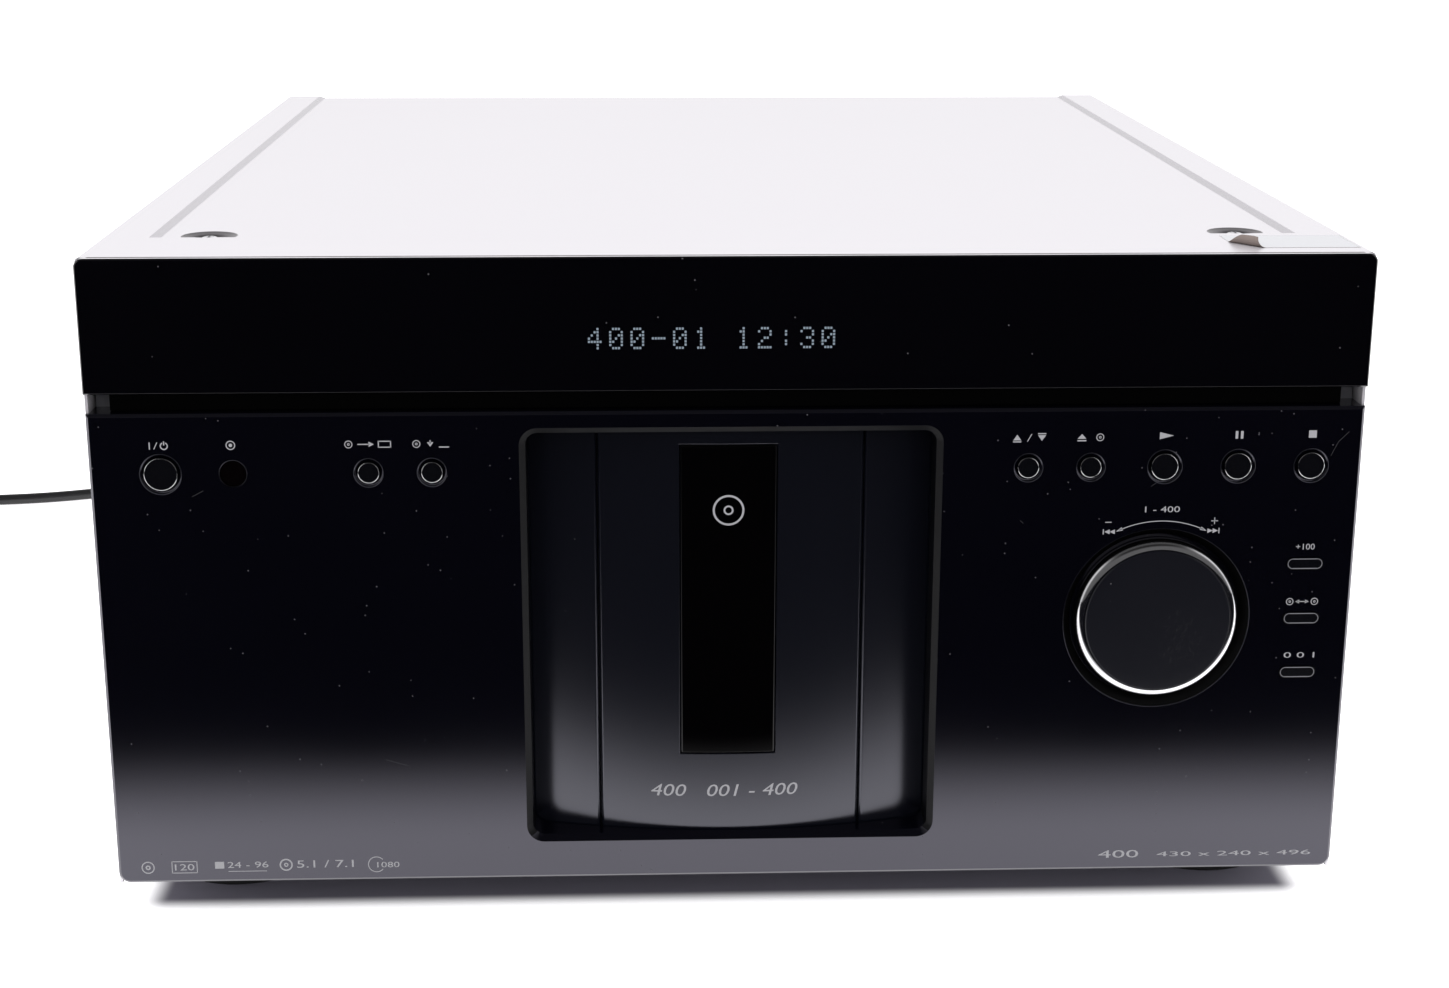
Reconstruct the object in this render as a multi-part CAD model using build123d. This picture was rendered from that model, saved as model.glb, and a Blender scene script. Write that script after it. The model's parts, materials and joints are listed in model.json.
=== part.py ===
"""Disc changer: a wide casing with a carousel of upright discs, a disc drive in its middle and a turning door.

Millimetres, +Z up, the front faces -Y. The origin is under the middle of the object, on the surface it stands on.
"""
from build123d import *
import math
import os

# Casing
casing_width = 430.0
casing_height = 240.0
casing_depth = 496.0
cover_sheet = 1.0
frame_sheet = 1.2
foot_height = 17.0
floor_clearance = 15.3
socket_reach = 8.0

# Front panels
wall = 2.5
panel_depth = 12.0
lower_panel_side_gap = 0.3
lower_panel_rise = 1.5
lower_panel_corner = 4.0
lower_panel_bevel = 1.0
upper_panel_height = 45.5
groove_height = 6.7
upper_panel_corner = 3.0
upper_panel_bevel = 0.5
groove_setback = 5.0

# Top cover
cover_front_gap = 2.8
cover_recess = 1.0
cover_border = 16.5
cover_slope = 3.0
cover_front_border = 41.0
cover_screw_inset = 35.5
cover_screw_y = 51.0
dimple_radius = 9.7
dimple_depth = 2.4
screw_radius = 1.5
screw_head_radius = 3.6

# Discs and carousel
disc_diameter = 120.0
disc_lift = 10.0
disc_count = 400
slot_width = 1.6
slot_depth = 10.0
comb_rim = 24.0
carousel_side_gap = 8.0
carousel_hole_radius = 84.0
carousel_floor = 2.5
carousel_rim_height = 16.0
carousel_wall = 2.5

# Door
door_setback = 4.0
door_gap = 25.0
door_skin = 2.5
door_carrier_sheet = 2.0
door_half_angle = 20.5
door_open_angle = 39.0
door_seam_angle = 11.4
seam_gap = 0.4
seam_bevel = 0.9
recess_width = 138.8
recess_sill = 15.9
recess_lintel = 7.7
recess_bevel = 2.1
recess_wall = 2.0
recess_corner = 4.0
strip_width = 32.5
strip_x = -0.9
strip_sill = 29.1
strip_lintel = 5.6
strip_sheet = 1.6
strip_gap = 0.5

# Gears
ring_teeth = 90
ring_module = 2.0
drive_teeth = 16
wheel_teeth = 44
pinion_teeth = 12
small_module = 1.0
rack_module = 1.5
rack_back = 2.5
door_pinion_teeth = 12
door_wheel_teeth = 32
door_pinion_angle = -19.5
tooth_addendum = 0.8
tooth_dedendum = 1.1

# Disc drive, in the middle of the carousel
plate_sheet = 3.0
plate_x = -8.0
stand_reach = 58.0
plate_front = 72.0
plate_back = 76.0
plate_lift = 27.8
plate_head_room = 20.0
turntable_radius = 14.0
sled_travel = 34.0
sled_length = 24.0
sled_start = 12.6
guide_rod_radius = 1.5
guide_rod_spread = 22.0
clamp_reach = 66.0
clamp_open_angle = 8.0
lever_lift = 30.5
lever_head = 2.0
lever_space = 53.0

# Dial and buttons: insets count from the right side of the casing, negative ones from its left side
dial_inset = 67.9
dial_drop = 54.4
dial_dish_radius = 32.5
dial_dish_depth = 4.0
dial_radius = 28.4
dial_cap_radius = 25.3
dial_proud = 2.8
dial_shaft_radius = 3.0
button_row_drop = 20.6
button_travel = 1.0
button_gap = 0.3
dish_spread = 1.2
dish_depth = 0.9
round_insets = {
    "power_button": (-24.0, 5.6),
    "slot_button": (-93.1, 3.6),
    "load_button": (-114.3, 3.6),
    "door_button": (114.4, 3.6),
    "eject_button": (93.1, 3.6),
    "play_button": (67.8, 4.6),
    "pause_button": (42.7, 4.6),
    "stop_button": (17.6, 4.6),
}
oblong_drops = {"plus_button": 34.9, "change_button": 54.7, "search_button": 74.5}
oblong_inset = 17.3
oblong_length = 12.4
oblong_height = 4.1
sensor_inset = -48.0
sensor_radius = 4.6
display_x = -5.9
display_drop = 27.4

# Feet
foot_inset = 34.0
foot_setback = 64.0
foot_radius = 29.0
foot_boss_z = 6.0
pad_height = 2.0

# Mains lead
cord_diameter = 6.0
gland_inset = -50.0
gland_lift = 26.8
gland_length = 26.0
coil_gap = 0.6
coil_turns = 6
coil_inner_radius = 24.0
coil_sides = 6
cord_sides = 10
plug_length = 34.0

# Boards, sockets and fan
board_sheet = 1.6
power_board_width = 78.0
power_board_depth = 72.0
jack_barrel = 4.2
jack_base = 4.9
jack_sides = 12
jack_x = [-112.0 + 14.0 * i for i in range(11)]
box_sockets = ((48.0, 15.4, 6.4, 9.0), (70.0, 16.4, 14.4, 12.0), (90.0, 11.4, 11.4, 8.0))
fan_inset = 65.0
fan_size = 40.0
fan_depth = 14.0
fan_radius = 18.0

# Running gaps
fit_gap = 0.3
shaft_gap = 0.05
small_gap = 0.2

# Places worked out from the sizes above
half_width = casing_width / 2


def from_side(inset):
    """A place across the front, counted inwards from the right side, or from the left one if negative."""
    return math.copysign(half_width - abs(inset), inset)


carousel_radius = min(half_width - carousel_side_gap, (casing_depth - door_setback - door_gap - lever_space) / 2)
door_radius = carousel_radius + door_gap
axis_setback = door_radius + door_setback
front_y = -(dial_proud + casing_depth + socket_reach) / 2 + dial_proud
back_y = front_y + casing_depth
axis_y = front_y + axis_setback
pan_top = foot_height + frame_sheet
carousel_floor_z = pan_top + floor_clearance
lower_panel_width = casing_width - 2 * lower_panel_side_gap
lower_panel_bottom = foot_height + lower_panel_rise
upper_panel_bottom = casing_height - upper_panel_height
lower_panel_top = upper_panel_bottom - groove_height
recess_bottom = lower_panel_bottom + recess_sill
recess_top = lower_panel_top - recess_lintel
strip_bottom = recess_bottom + strip_sill
strip_top = recess_top - strip_lintel
cover_screw_x = from_side(cover_screw_inset)
foot_x = from_side(foot_inset)
button_row_z = lower_panel_top - button_row_drop
round_buttons = {name: (from_side(inset), radius) for name, (inset, radius) in round_insets.items()}
oblong_buttons = {name: button_row_z - drop for name, drop in oblong_drops.items()}
oblong_x = from_side(oblong_inset)
sensor_x = from_side(sensor_inset)
dial_x = from_side(dial_inset)
dial_z = button_row_z - dial_drop
display_z = casing_height - display_drop
gland_x = from_side(gland_inset)
gland_z = pan_top + gland_lift
fan_x = from_side(fan_inset)
frame_y = front_y + panel_depth
inner_front = frame_y + frame_sheet + small_gap
inner_back = back_y - cover_sheet - frame_sheet - small_gap
inner_x = half_width - cover_sheet - 2 * fit_gap
deck_z = upper_panel_bottom - 4.5
deck_top = deck_z + frame_sheet
spindle_z = carousel_floor_z + carousel_floor + disc_lift + disc_diameter / 2
plate_bottom = pan_top + plate_lift
plate_top = deck_z - plate_head_room
lever_z = carousel_floor_z + lever_lift
lever_reach = disc_diameter / 2 + lever_head
cover_under = casing_height - cover_recess - cover_sheet
side_screw_z = pan_top + 6.0
table_motor_z = carousel_floor_z + 2.5
plate_face = plate_x + plate_sheet
rod_x = plate_x - 6.0
clamp_hinge = (10.0, -clamp_reach)
fan_z = deck_top + fan_size / 2 + 1.5
board_z = deck_top + 6.0
board_top = board_z + board_sheet


def block(x0, x1, y0, y1, z0, z1):
    """A box between two corners."""
    return Pos((x0 + x1) / 2, (y0 + y1) / 2, (z0 + z1) / 2) * Box(x1 - x0, y1 - y0, z1 - z0)


def rod(centre, direction, radius, length):
    """A cylinder that starts at centre and runs along direction."""
    return Plane(origin=centre, z_dir=direction).location * Cylinder(
        radius, length, align=(Align.CENTER, Align.CENTER, Align.MIN))


def turned(points, centre, direction):
    """A solid of revolution: points are (radius, height) along direction from centre."""
    outline = make_face(Polyline(*[(r, 0, h) for r, h in points], close=True))
    return Plane(origin=centre, z_dir=direction).location * revolve(outline, Axis.Z)


def around(radius, angle, z=0.0):
    """A point about the carousel's axis: angle 0 is the front, positive to the viewer's right."""
    turn = math.radians(angle)
    return (radius * math.sin(turn), axis_y - radius * math.cos(turn), z)


def sector(r0, r1, a0, a1, z0, z1, bevel=0.0):
    """A curved plate about the carousel's axis, with its outer upright edges bevelled."""
    mid = (a0 + a1) / 2
    lean = math.degrees(bevel / r1)
    outer = ThreePointArc(around(r1, a0 + lean), around(r1, mid), around(r1, a1 - lean))
    inner = ThreePointArc(around(r0, a1), around(r0, mid), around(r0, a0))
    left = [around(r0, a0), around(r1, a0 + lean)]
    right = [around(r1, a1 - lean), around(r0, a1)]
    if bevel > 0:
        left.insert(1, around(r1 - bevel, a0))
        right.insert(1, around(r1 - bevel, a1))
    face = make_face([outer, inner, Polyline(*left), Polyline(*right)])
    return Pos(0, 0, z0) * extrude(face, z1 - z0, dir=(0, 0, 1))


def tooth_points(count, module, phase, inward=False, first=0, last=None):
    """Corners of straight-sided teeth about the origin, one tooth centred at the angle phase (degrees)."""
    pitch = 360.0 / count
    side = -1 if inward else 1
    tip = module * count / 2 + side * tooth_addendum * module
    root = module * count / 2 - side * tooth_dedendum * module
    corners = []
    for i in range(first, count if last is None else last):
        middle = phase + i * pitch
        for radius, share in ((root, -0.29), (tip, -0.13), (tip, 0.13), (root, 0.29)):
            turn = math.radians(middle + share * pitch)
            corners.append((radius * math.cos(turn), radius * math.sin(turn)))
    return corners


def gear(count, module, phase, centre, height, bore=0.0):
    """A spur gear that stands on centre."""
    body = extrude(make_face(Polyline(*tooth_points(count, module, phase), close=True)), height, dir=(0, 0, 1))
    if bore > 0:
        body -= Cylinder(bore, 3 * height)
    return Pos(*centre) * body


def angle_to(a, b):
    """Direction from point a to point b in the plan, in degrees."""
    return math.degrees(math.atan2(b[1] - a[1], b[0] - a[0]))


# Gear centres: the small train lies inside the carousel's ring gear, the door's pinion inside the door's rack
ring_pitch_radius = ring_module * ring_teeth / 2
drive_centre = (ring_pitch_radius - ring_module * drive_teeth / 2, axis_y)
train_distance = small_module * (wheel_teeth + pinion_teeth) / 2
table_motor_centre = (drive_centre[0] - train_distance, axis_y)
carrier_outer = door_radius - door_skin
carrier_inner = carrier_outer - door_carrier_sheet
rack_teeth = int(2 * (carrier_inner - rack_back) / rack_module)
rack_pitch_radius = rack_module * rack_teeth / 2
door_pinion_orbit = rack_pitch_radius - rack_module * door_pinion_teeth / 2
door_pinion_centre = around(door_pinion_orbit, door_pinion_angle)[:2]
door_train_distance = small_module * (door_wheel_teeth + pinion_teeth) / 2
door_motor_centre = (door_pinion_centre[0] - door_train_distance * math.sqrt(0.5),
                     door_pinion_centre[1] + door_train_distance * math.sqrt(0.5))
drive_gear_z = carousel_floor_z - 5.7
table_wheel_z = pan_top + 3.3
door_rack_z = recess_top - 8.0
door_rack_height = 5.0
skin_bottom = recess_bottom - 3.4
skin_top = recess_top + 0.5
rail_inner = door_radius - 10.0
rail_outer = door_radius + 0.6
lower_rail_z = lower_panel_bottom + wall
upper_rail_top = lower_panel_top - wall - fit_gap
carrier_bottom = lower_rail_z + 2.2
carrier_top = upper_rail_top - 1.9
rail_start = -(door_half_angle + door_open_angle + 2.0)
rail_end = door_half_angle + 2.0


def make_bottom_chassis():
    """Steel pan with upturned sides and a pressed seat for each foot."""
    pan = block(-inner_x, inner_x, inner_front, inner_back, foot_height, pan_top)
    flange = 12.0
    for side in (-1, 1):
        x0, x1 = sorted((side * inner_x, side * (inner_x - frame_sheet)))
        pan += block(x0, x1, inner_front, inner_back, pan_top, pan_top + flange)
    for x, y in foot_places():
        pan -= rod((x, y, foot_height - 1), (0, 0, 1), screw_radius + small_gap, 4)
    for x, y in side_screw_places():
        pan -= rod((x - math.copysign(4, x), y, side_screw_z), (math.copysign(1, x), 0, 0),
                   screw_radius + small_gap, 8)
    return pan + gear_post() + lever_post()


def foot_places():
    """Centres of the four feet in the plan."""
    front = front_y + foot_setback
    back = back_y - foot_setback
    return [(sx * foot_x, y) for y in (front, back) for sx in (-1, 1)]


def side_screw_places():
    """The cover's side screws in the plan, two on each side."""
    x = half_width
    return [(sx * x, y) for y in (front_y + 90.0, back_y - 90.0) for sx in (-1, 1)]


def make_feet():
    """Four round moulded feet, hollow underneath around the screw post."""
    rim = 3.0
    profile = [(screw_radius + 0.5, foot_boss_z), (screw_radius + 4.0, foot_boss_z),
               (screw_radius + 4.0, foot_height - rim),
               (foot_radius - 2 - rim, foot_height - rim), (foot_radius - 2 - rim, pad_height),
               (foot_radius - 2, pad_height), (foot_radius, foot_height - 4), (foot_radius, foot_height),
               (screw_radius + 0.5, foot_height)]
    return Compound(children=[turned(profile, (x, y, 0), (0, 0, 1)) for x, y in foot_places()])


def make_foot_pads():
    """A soft ring glued under each foot."""
    profile = [(foot_radius - 5, 0), (foot_radius - 2, 0), (foot_radius - 2, pad_height),
               (foot_radius - 5, pad_height)]
    return Compound(children=[turned(profile, (x, y, 0), (0, 0, 1)) for x, y in foot_places()])


def recess_form(drop):
    """The shallow sloped tray pressed into the cover's top, lowered by drop."""
    z = casing_height - drop
    reach = half_width - cover_border
    low = reach - cover_slope
    y0 = front_y + cover_front_border
    end = back_y + 20.0
    profile = Polyline((-reach, y0, z), (-low, y0, z - cover_recess), (low, y0, z - cover_recess),
                       (reach, y0, z), close=True)
    tray = extrude(make_face(profile), end - y0, dir=(0, 1, 0))
    ramp = Polyline((-half_width, y0, z - cover_recess - 1), (-half_width, y0, z + 1),
                    (-half_width, y0 + cover_slope, z - cover_recess - 1), close=True)
    return tray - extrude(make_face(ramp), casing_width, dir=(1, 0, 0))


def make_top_cover():
    """Folded steel cover: top with a sloped tray, two sides and a short rear lip."""
    y0 = front_y + cover_front_gap
    bottom = foot_height + 0.6
    bend = 1.6
    outer = block(-half_width, half_width, y0, back_y, bottom, casing_height)
    outer = fillet(outer.edges().filter_by(Axis.Y).group_by(Axis.Z)[-1], bend)
    inner = block(-half_width + cover_sheet, half_width - cover_sheet, y0 - 1, back_y - cover_sheet,
                  bottom - 1, casing_height - cover_sheet)
    cover = outer - recess_form(0) - (inner - recess_form(cover_sheet))
    lip = 10.0
    cover -= block(-half_width + cover_sheet, half_width - cover_sheet, back_y - 2, back_y + 1,
                   bottom - 1, cover_under - lip)
    floor = casing_height - cover_recess
    for side in (-1, 1):
        centre = (side * cover_screw_x, front_y + cover_screw_y, floor)
        cup = [(0, 0), (dimple_radius + cover_sheet, 0), (screw_head_radius + 1 + cover_sheet,
               -dimple_depth - cover_sheet), (0, -dimple_depth - cover_sheet)]
        hollow = [(0, 1), (dimple_radius, 1), (dimple_radius, 0), (screw_head_radius + 1, -dimple_depth),
                  (0, -dimple_depth)]
        cover = cover + turned(cup, centre, (0, 0, 1)) - turned(hollow, centre, (0, 0, 1))
        cover -= rod((centre[0], centre[1], floor - 8), (0, 0, 1), screw_radius + small_gap, 10)
    for x, y in side_screw_places():
        cover -= rod((x - math.copysign(4, x), y, side_screw_z), (math.copysign(1, x), 0, 0),
                     screw_radius + small_gap, 8)
    return cover


def screw(centre, direction, length, head_radius=screw_head_radius):
    """A pan-head screw whose head's underside lies at centre; the shank runs against direction."""
    head = 1.7
    profile = [(0, head), (head_radius * 0.7, head), (head_radius, 0), (screw_radius, 0),
               (screw_radius, -length), (0, -length)]
    return turned(profile, centre, direction)


def make_casing_screws():
    """Two screws in the top's dimples, two in each side, the rear panel's row and one under each foot."""
    floor = casing_height - cover_recess - dimple_depth
    found = [screw((sx * cover_screw_x, front_y + cover_screw_y, floor), (0, 0, 1), 5.0) for sx in (-1, 1)]
    for x, y in side_screw_places():
        found.append(screw((x, y, side_screw_z), (math.copysign(1, x), 0, 0), 6.0, screw_head_radius - 0.6))
    for x, z in rear_screw_places():
        found.append(screw((x, back_y - cover_sheet, z), (0, 1, 0), 5.0, screw_head_radius - 0.6))
    for x, y in foot_places():
        found.append(screw((x, y, foot_boss_z), (0, 0, -1), pan_top + 1.5 - foot_boss_z))
    return Compound(children=found)


def make_front_frame():
    """Steel plate behind the panels, open for the door, the dial and the readout."""
    top = casing_height - 2 * cover_sheet - 2.0
    plate = block(-inner_x, inner_x, frame_y, frame_y + frame_sheet, pan_top, top)
    half = recess_width / 2 + 3.6
    plate -= block(-half, half, frame_y - 1, frame_y + 3, lower_rail_z, upper_rail_top + 1.6)
    plate -= rod((dial_x, frame_y - 1, dial_z), (0, 1, 0), dial_dish_radius - 10, 4)
    plate -= block(display_x - 40, display_x + 40, frame_y - 1, frame_y + 3, display_z - 6, display_z + 6)
    post = 5.0
    for side in (-1, 1):
        x = side * cover_screw_x
        shelf = cover_under - dimple_depth - cover_sheet
        plate += block(x - post, x + post, frame_y, front_y + cover_screw_y + post, shelf - 1.5, shelf)
        plate -= rod((x, front_y + cover_screw_y, shelf - 8), (0, 0, 1), screw_radius + small_gap, 12)
    return plate


def make_upper_deck():
    """Steel shelf over the carousel on four legs; it carries the boards."""
    x = inner_x - frame_sheet - small_gap
    deck = block(-x, x, inner_front, inner_back, deck_z, deck_top)
    leg = 40.0
    for side in (-1, 1):
        x0, x1 = sorted((side * x, side * (x - frame_sheet)))
        for y0 in (inner_front + 6, inner_back - leg - 6):
            deck += block(x0, x1, y0, y0 + leg, pan_top, deck_z)
    deck -= rod((*door_pinion_centre, deck_z - 1), (0, 0, 1), 2.0 + fit_gap, 4)
    return deck


def panel_outline(width, bottom, top, radius, at_bottom):
    """An upright rectangle with two rounded corners, at the front plane."""
    sheet = Plane.XZ * Rectangle(width, top - bottom)
    corners = sheet.vertices().group_by(Axis.Z)[0 if at_bottom else -1]
    return Pos(0, front_y, (bottom + top) / 2) * fillet(corners, radius)


def panel_shell(width, bottom, top, radius, at_bottom, bevel):
    """A front panel as a shallow tray that opens to the back, with a bevel round its face."""
    outer = extrude(panel_outline(width, bottom, top, radius, at_bottom), panel_depth, dir=(0, 1, 0))
    outer = chamfer(outer.faces().sort_by(Axis.Y)[0].edges(), bevel)
    inner = extrude(panel_outline(width - 2 * wall, bottom + wall, top - wall, max(radius - wall, 0.5),
                                  at_bottom), panel_depth, dir=(0, 1, 0))
    return outer - Pos(0, wall, 0) * inner


def upright_frame(width, bottom, top, radius, y, depth):
    """A block with rounded upright outline that runs back from y."""
    sheet = Plane.XZ * RectangleRounded(width, top - bottom, radius)
    return Pos(0, y, (bottom + top) / 2) * extrude(sheet, depth, dir=(0, 1, 0))


def make_lower_fascia():
    """Moulded lower panel with the door's recess, the dial's dish and a dish for each button."""
    panel = panel_shell(lower_panel_width, lower_panel_bottom, lower_panel_top, lower_panel_corner, True,
                        lower_panel_bevel)
    depth = 14.2
    tube = upright_frame(recess_width + 2 * recess_wall, recess_bottom - recess_wall,
                         recess_top + recess_wall, recess_corner + recess_wall, front_y, depth)
    path = Pos(0, axis_y, casing_height / 2) * Cylinder(rail_outer + fit_gap, casing_height)
    panel += tube - path
    panel -= upright_frame(recess_width, recess_bottom, recess_top, recess_corner, front_y - 1, depth + 2)
    mouth = Plane.XZ * RectangleRounded(recess_width + 2 * recess_bevel,
                                        recess_top - recess_bottom + 2 * recess_bevel,
                                        recess_corner + recess_bevel)
    middle = Pos(0, front_y, (recess_bottom + recess_top) / 2)
    panel -= middle * extrude(mouth, recess_bevel, dir=(0, 1, 0), taper=45)
    at = (dial_x, front_y, dial_z)
    floor = dial_dish_depth
    panel += turned([(0, 1), (dial_dish_radius + 1.5, 1), (dial_dish_radius + 1.5, floor + wall),
                     (0, floor + wall)], at, (0, 1, 0))
    panel -= turned([(0, -1), (dial_dish_radius, -1), (dial_dish_radius, 0.4),
                     (dial_radius + 1.2, floor), (6.0, floor), (6.0, floor + wall + 1), (0, floor + wall + 1)],
                    at, (0, 1, 0))
    for x, radius in round_buttons.values():
        panel -= dish((x, front_y, button_row_z), radius + button_gap)
    panel -= rod((sensor_x, front_y - 1, button_row_z), (0, 1, 0), sensor_radius + small_gap, wall + 2)
    for z in oblong_buttons.values():
        panel -= slot_form(oblong_x, z, oblong_length + 2 * button_gap, oblong_height + 2 * button_gap,
                           front_y - 1, wall + 2)
    return panel - cover_rebate()


def cover_rebate():
    """What the panels leave free at their sides for the cover's front edges."""
    y0 = front_y + cover_front_gap - fit_gap
    x = half_width - cover_sheet - fit_gap
    return (block(-half_width - 1, -x, y0, frame_y + 3, 0, casing_height + 1)
            + block(x, half_width + 1, y0, frame_y + 3, 0, casing_height + 1))


def dish(centre, radius):
    """A button's hole with the shallow dish around it."""
    wide = radius + dish_spread
    return turned([(0, -1), (wide, -1), (wide, 0), (radius, dish_depth), (radius, wall + 1), (0, wall + 1)],
                  centre, (0, 1, 0))


def slot_form(x, z, length, height, y, depth):
    """A bar with round ends that runs back from y."""
    sheet = Plane.XZ * SlotOverall(length, height)
    return Pos(x, y, z) * extrude(sheet, depth, dir=(0, 1, 0))


def make_upper_fascia():
    """Gloss bar over the groove, with a lip that goes under the cover."""
    panel = panel_shell(casing_width, upper_panel_bottom, casing_height, upper_panel_corner, False,
                        upper_panel_bevel)
    under = casing_height - cover_sheet - fit_gap
    panel -= block(-half_width - 1, half_width + 1, front_y + cover_front_gap - fit_gap, frame_y + 1,
                   under, casing_height + 1)
    return panel - cover_rebate()


def make_groove_trim():
    """Dark bar set back in the groove between the two panels."""
    reach = inner_x - 6.0
    return block(-reach, reach, front_y + groove_setback, frame_y - 0.05,
                 lower_panel_top + 0.1, upper_panel_bottom - 0.1)


def make_rear_panel():
    """Steel rear wall with an opening for each socket, the lead and the fan."""
    y0, y1 = back_y - cover_sheet - frame_sheet, back_y - cover_sheet
    panel = block(-inner_x, inner_x, y0, y1, foot_height + 0.8, cover_under - 0.4)
    for x0, x1, z0, z1 in socket_openings():
        panel -= block(x0, x1, y0 - 1, y1 + 1, z0, z1)
    panel -= rod((gland_x, y0 - 1, gland_z), (0, 1, 0), cord_diameter / 2 + 2.5 + small_gap, 5)
    bar = 2.6
    pitch = 5.2
    for i in range(7):
        x = fan_x - 3 * pitch + i * pitch
        reach = math.sqrt(max(fan_radius ** 2 - (x - fan_x) ** 2, 1.0))
        panel -= block(x - bar / 2, x + bar / 2, y0 - 1, y1 + 1, fan_z - reach, fan_z + reach)
    for x, z in rear_screw_places():
        panel -= rod((x, y0 - 1, z), (0, 1, 0), screw_radius + small_gap, 5)
    return panel


def socket_openings():
    """Rear openings as (x0, x1, z0, z1)."""
    side = jack_base + small_gap
    found = [(x - side, x + side, board_top - small_gap, board_top + jack_base + side) for x in jack_x]
    for x, width, height, _ in box_sockets:
        half = width / 2 + small_gap
        found.append((x - half, x + half, board_top - small_gap, board_top + height + small_gap))
    return found


def rear_screw_places():
    """Screws through the rear panel, (x, z)."""
    return [(x, pan_top + 6.0) for x in (from_side(-10.0), 0.0, from_side(10.0))]


def jack(x, y0, y1):
    """A round socket on the main board: square base inside the wall and a tube outside it."""
    z = board_top + jack_base
    sheet = Plane.XZ * (RegularPolygon(jack_barrel, jack_sides) - RegularPolygon(1.8, jack_sides))
    tube = Pos(x, y0, z) * extrude(sheet, y1 - y0, dir=(0, 1, 0))
    return block(x - jack_base, x + jack_base, y0 - 8, y0, z - jack_base, z + jack_base) + tube


def make_rear_sockets():
    """Row of round sockets, then the video, network and optical sockets, each open at the back."""
    wall_y = back_y - cover_sheet
    found = [jack(x, wall_y - frame_sheet + 0.4, wall_y + socket_reach) for x in jack_x]
    y1 = wall_y + 0.5
    for x, width, height, depth in box_sockets:
        z1 = board_top + height
        shell = block(x - width / 2, x + width / 2, y1 - depth - 3, y1, board_top, z1)
        shell -= block(x - width / 2 + 1, x + width / 2 - 1, y1 - depth, y1 + 1, board_top + 1, z1 - 1)
        found.append(shell)
    return Compound(children=found)


def make_carousel_table():
    """Ring-shaped disc table with an inner wall and an outer rim."""
    top = carousel_floor_z + carousel_floor
    rim = top + carousel_rim_height
    inner_top = top + slot_depth
    profile = [(carousel_hole_radius, carousel_floor_z), (carousel_radius, carousel_floor_z),
               (carousel_radius, rim), (carousel_radius - carousel_wall, rim),
               (carousel_radius - carousel_wall, top), (carousel_hole_radius + carousel_wall, top),
               (carousel_hole_radius + carousel_wall, inner_top), (carousel_hole_radius, inner_top)]
    return turned(profile, (0, axis_y, 0), (0, 0, 1))


def make_slot_ring():
    """Comb with one slot of constant width for each disc; its fins run to points towards the middle."""
    rim = carousel_radius - carousel_wall - small_gap
    root = rim - comb_rim
    tip = slot_width * disc_count / (2 * math.pi)
    half_slot = math.degrees(math.asin(slot_width / 2 / root))
    pitch = 360.0 / disc_count
    corners = []
    for i in range(disc_count):
        for radius, angle in ((root, i * pitch - half_slot), (root, i * pitch + half_slot),
                              (tip, (i + 0.5) * pitch)):
            turn = math.radians(angle)
            corners.append((radius * math.sin(turn), -radius * math.cos(turn)))
    face = make_face(Edge.make_circle(rim)) - make_face(Polyline(*corners, close=True))
    return Pos(0, axis_y, carousel_floor_z + carousel_floor) * extrude(face, slot_depth, dir=(0, 0, 1))


def make_ring_gear():
    """Inward-toothed ring under the disc table."""
    phase = 0.0
    teeth = make_face(Polyline(*tooth_points(ring_teeth, ring_module, phase, inward=True), close=True))
    face = make_face(Edge.make_circle(ring_pitch_radius + 4 * ring_module)) - teeth
    height = 6.0
    return Pos(0, axis_y, carousel_floor_z - height) * extrude(face, height, dir=(0, 0, 1))


def make_carousel_bearings():
    """Fixed ring on the pan that centres the carousel by its ring gear, and four glide shoes under the rim."""
    r0 = ring_pitch_radius + 4 * ring_module + fit_gap
    ring = turned([(r0, pan_top), (r0 + 5, pan_top), (r0 + 5, pan_top + 2), (r0 + 2.5, pan_top + 2),
                   (r0 + 2.5, carousel_floor_z - small_gap), (r0, carousel_floor_z - small_gap)],
                  (0, axis_y, 0), (0, 0, 1))
    found = [ring]
    for angle in (45, 135, 225, 315):
        x, y, _ = around(carousel_radius - 14, angle)
        shoe = block(-8, 8, -5, 5, pan_top, carousel_floor_z - small_gap)
        shoe = chamfer(shoe.edges().filter_by(Axis.Y).group_by(Axis.Z)[-1], 2.5)
        found.append(Pos(x, y, 0) * Rot(0, 0, angle) * shoe)
    return Compound(children=found)


def make_table_drive_gear():
    """Compound gear: small teeth in the carousel's ring gear, wheel on the motor's pinion."""
    upper = gear(drive_teeth, ring_module, 180.0 / drive_teeth, (*drive_centre, drive_gear_z), 5.4, 2.05)
    lower = gear(wheel_teeth, small_module, 180.0, (*drive_centre, table_wheel_z), 4.0, 2.05)
    hub = turned([(2.05, table_wheel_z + 4), (6, table_wheel_z + 4), (6, drive_gear_z), (2.05, drive_gear_z)],
                 (*drive_centre, 0), (0, 0, 1))
    return upper + lower + hub


def gear_post():
    """Steel pin on the pan that the compound gear turns on."""
    return turned([(0, pan_top), (7, pan_top), (7, table_wheel_z - fit_gap), (2.0, table_wheel_z - fit_gap),
                   (2.0, drive_gear_z + 5.4), (0, drive_gear_z + 5.4)], (*drive_centre, 0), (0, 0, 1))


def make_table_pinion():
    """Pinion and shaft of the motor that turns the carousel."""
    x, y = table_motor_centre
    teeth = gear(pinion_teeth, small_module, 180.0 / pinion_teeth, (x, y, table_wheel_z), 4.5)
    return teeth + rod((x, y, table_wheel_z + 4.5), (0, 0, 1), 1.0, table_motor_z - table_wheel_z + 1.5)


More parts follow.
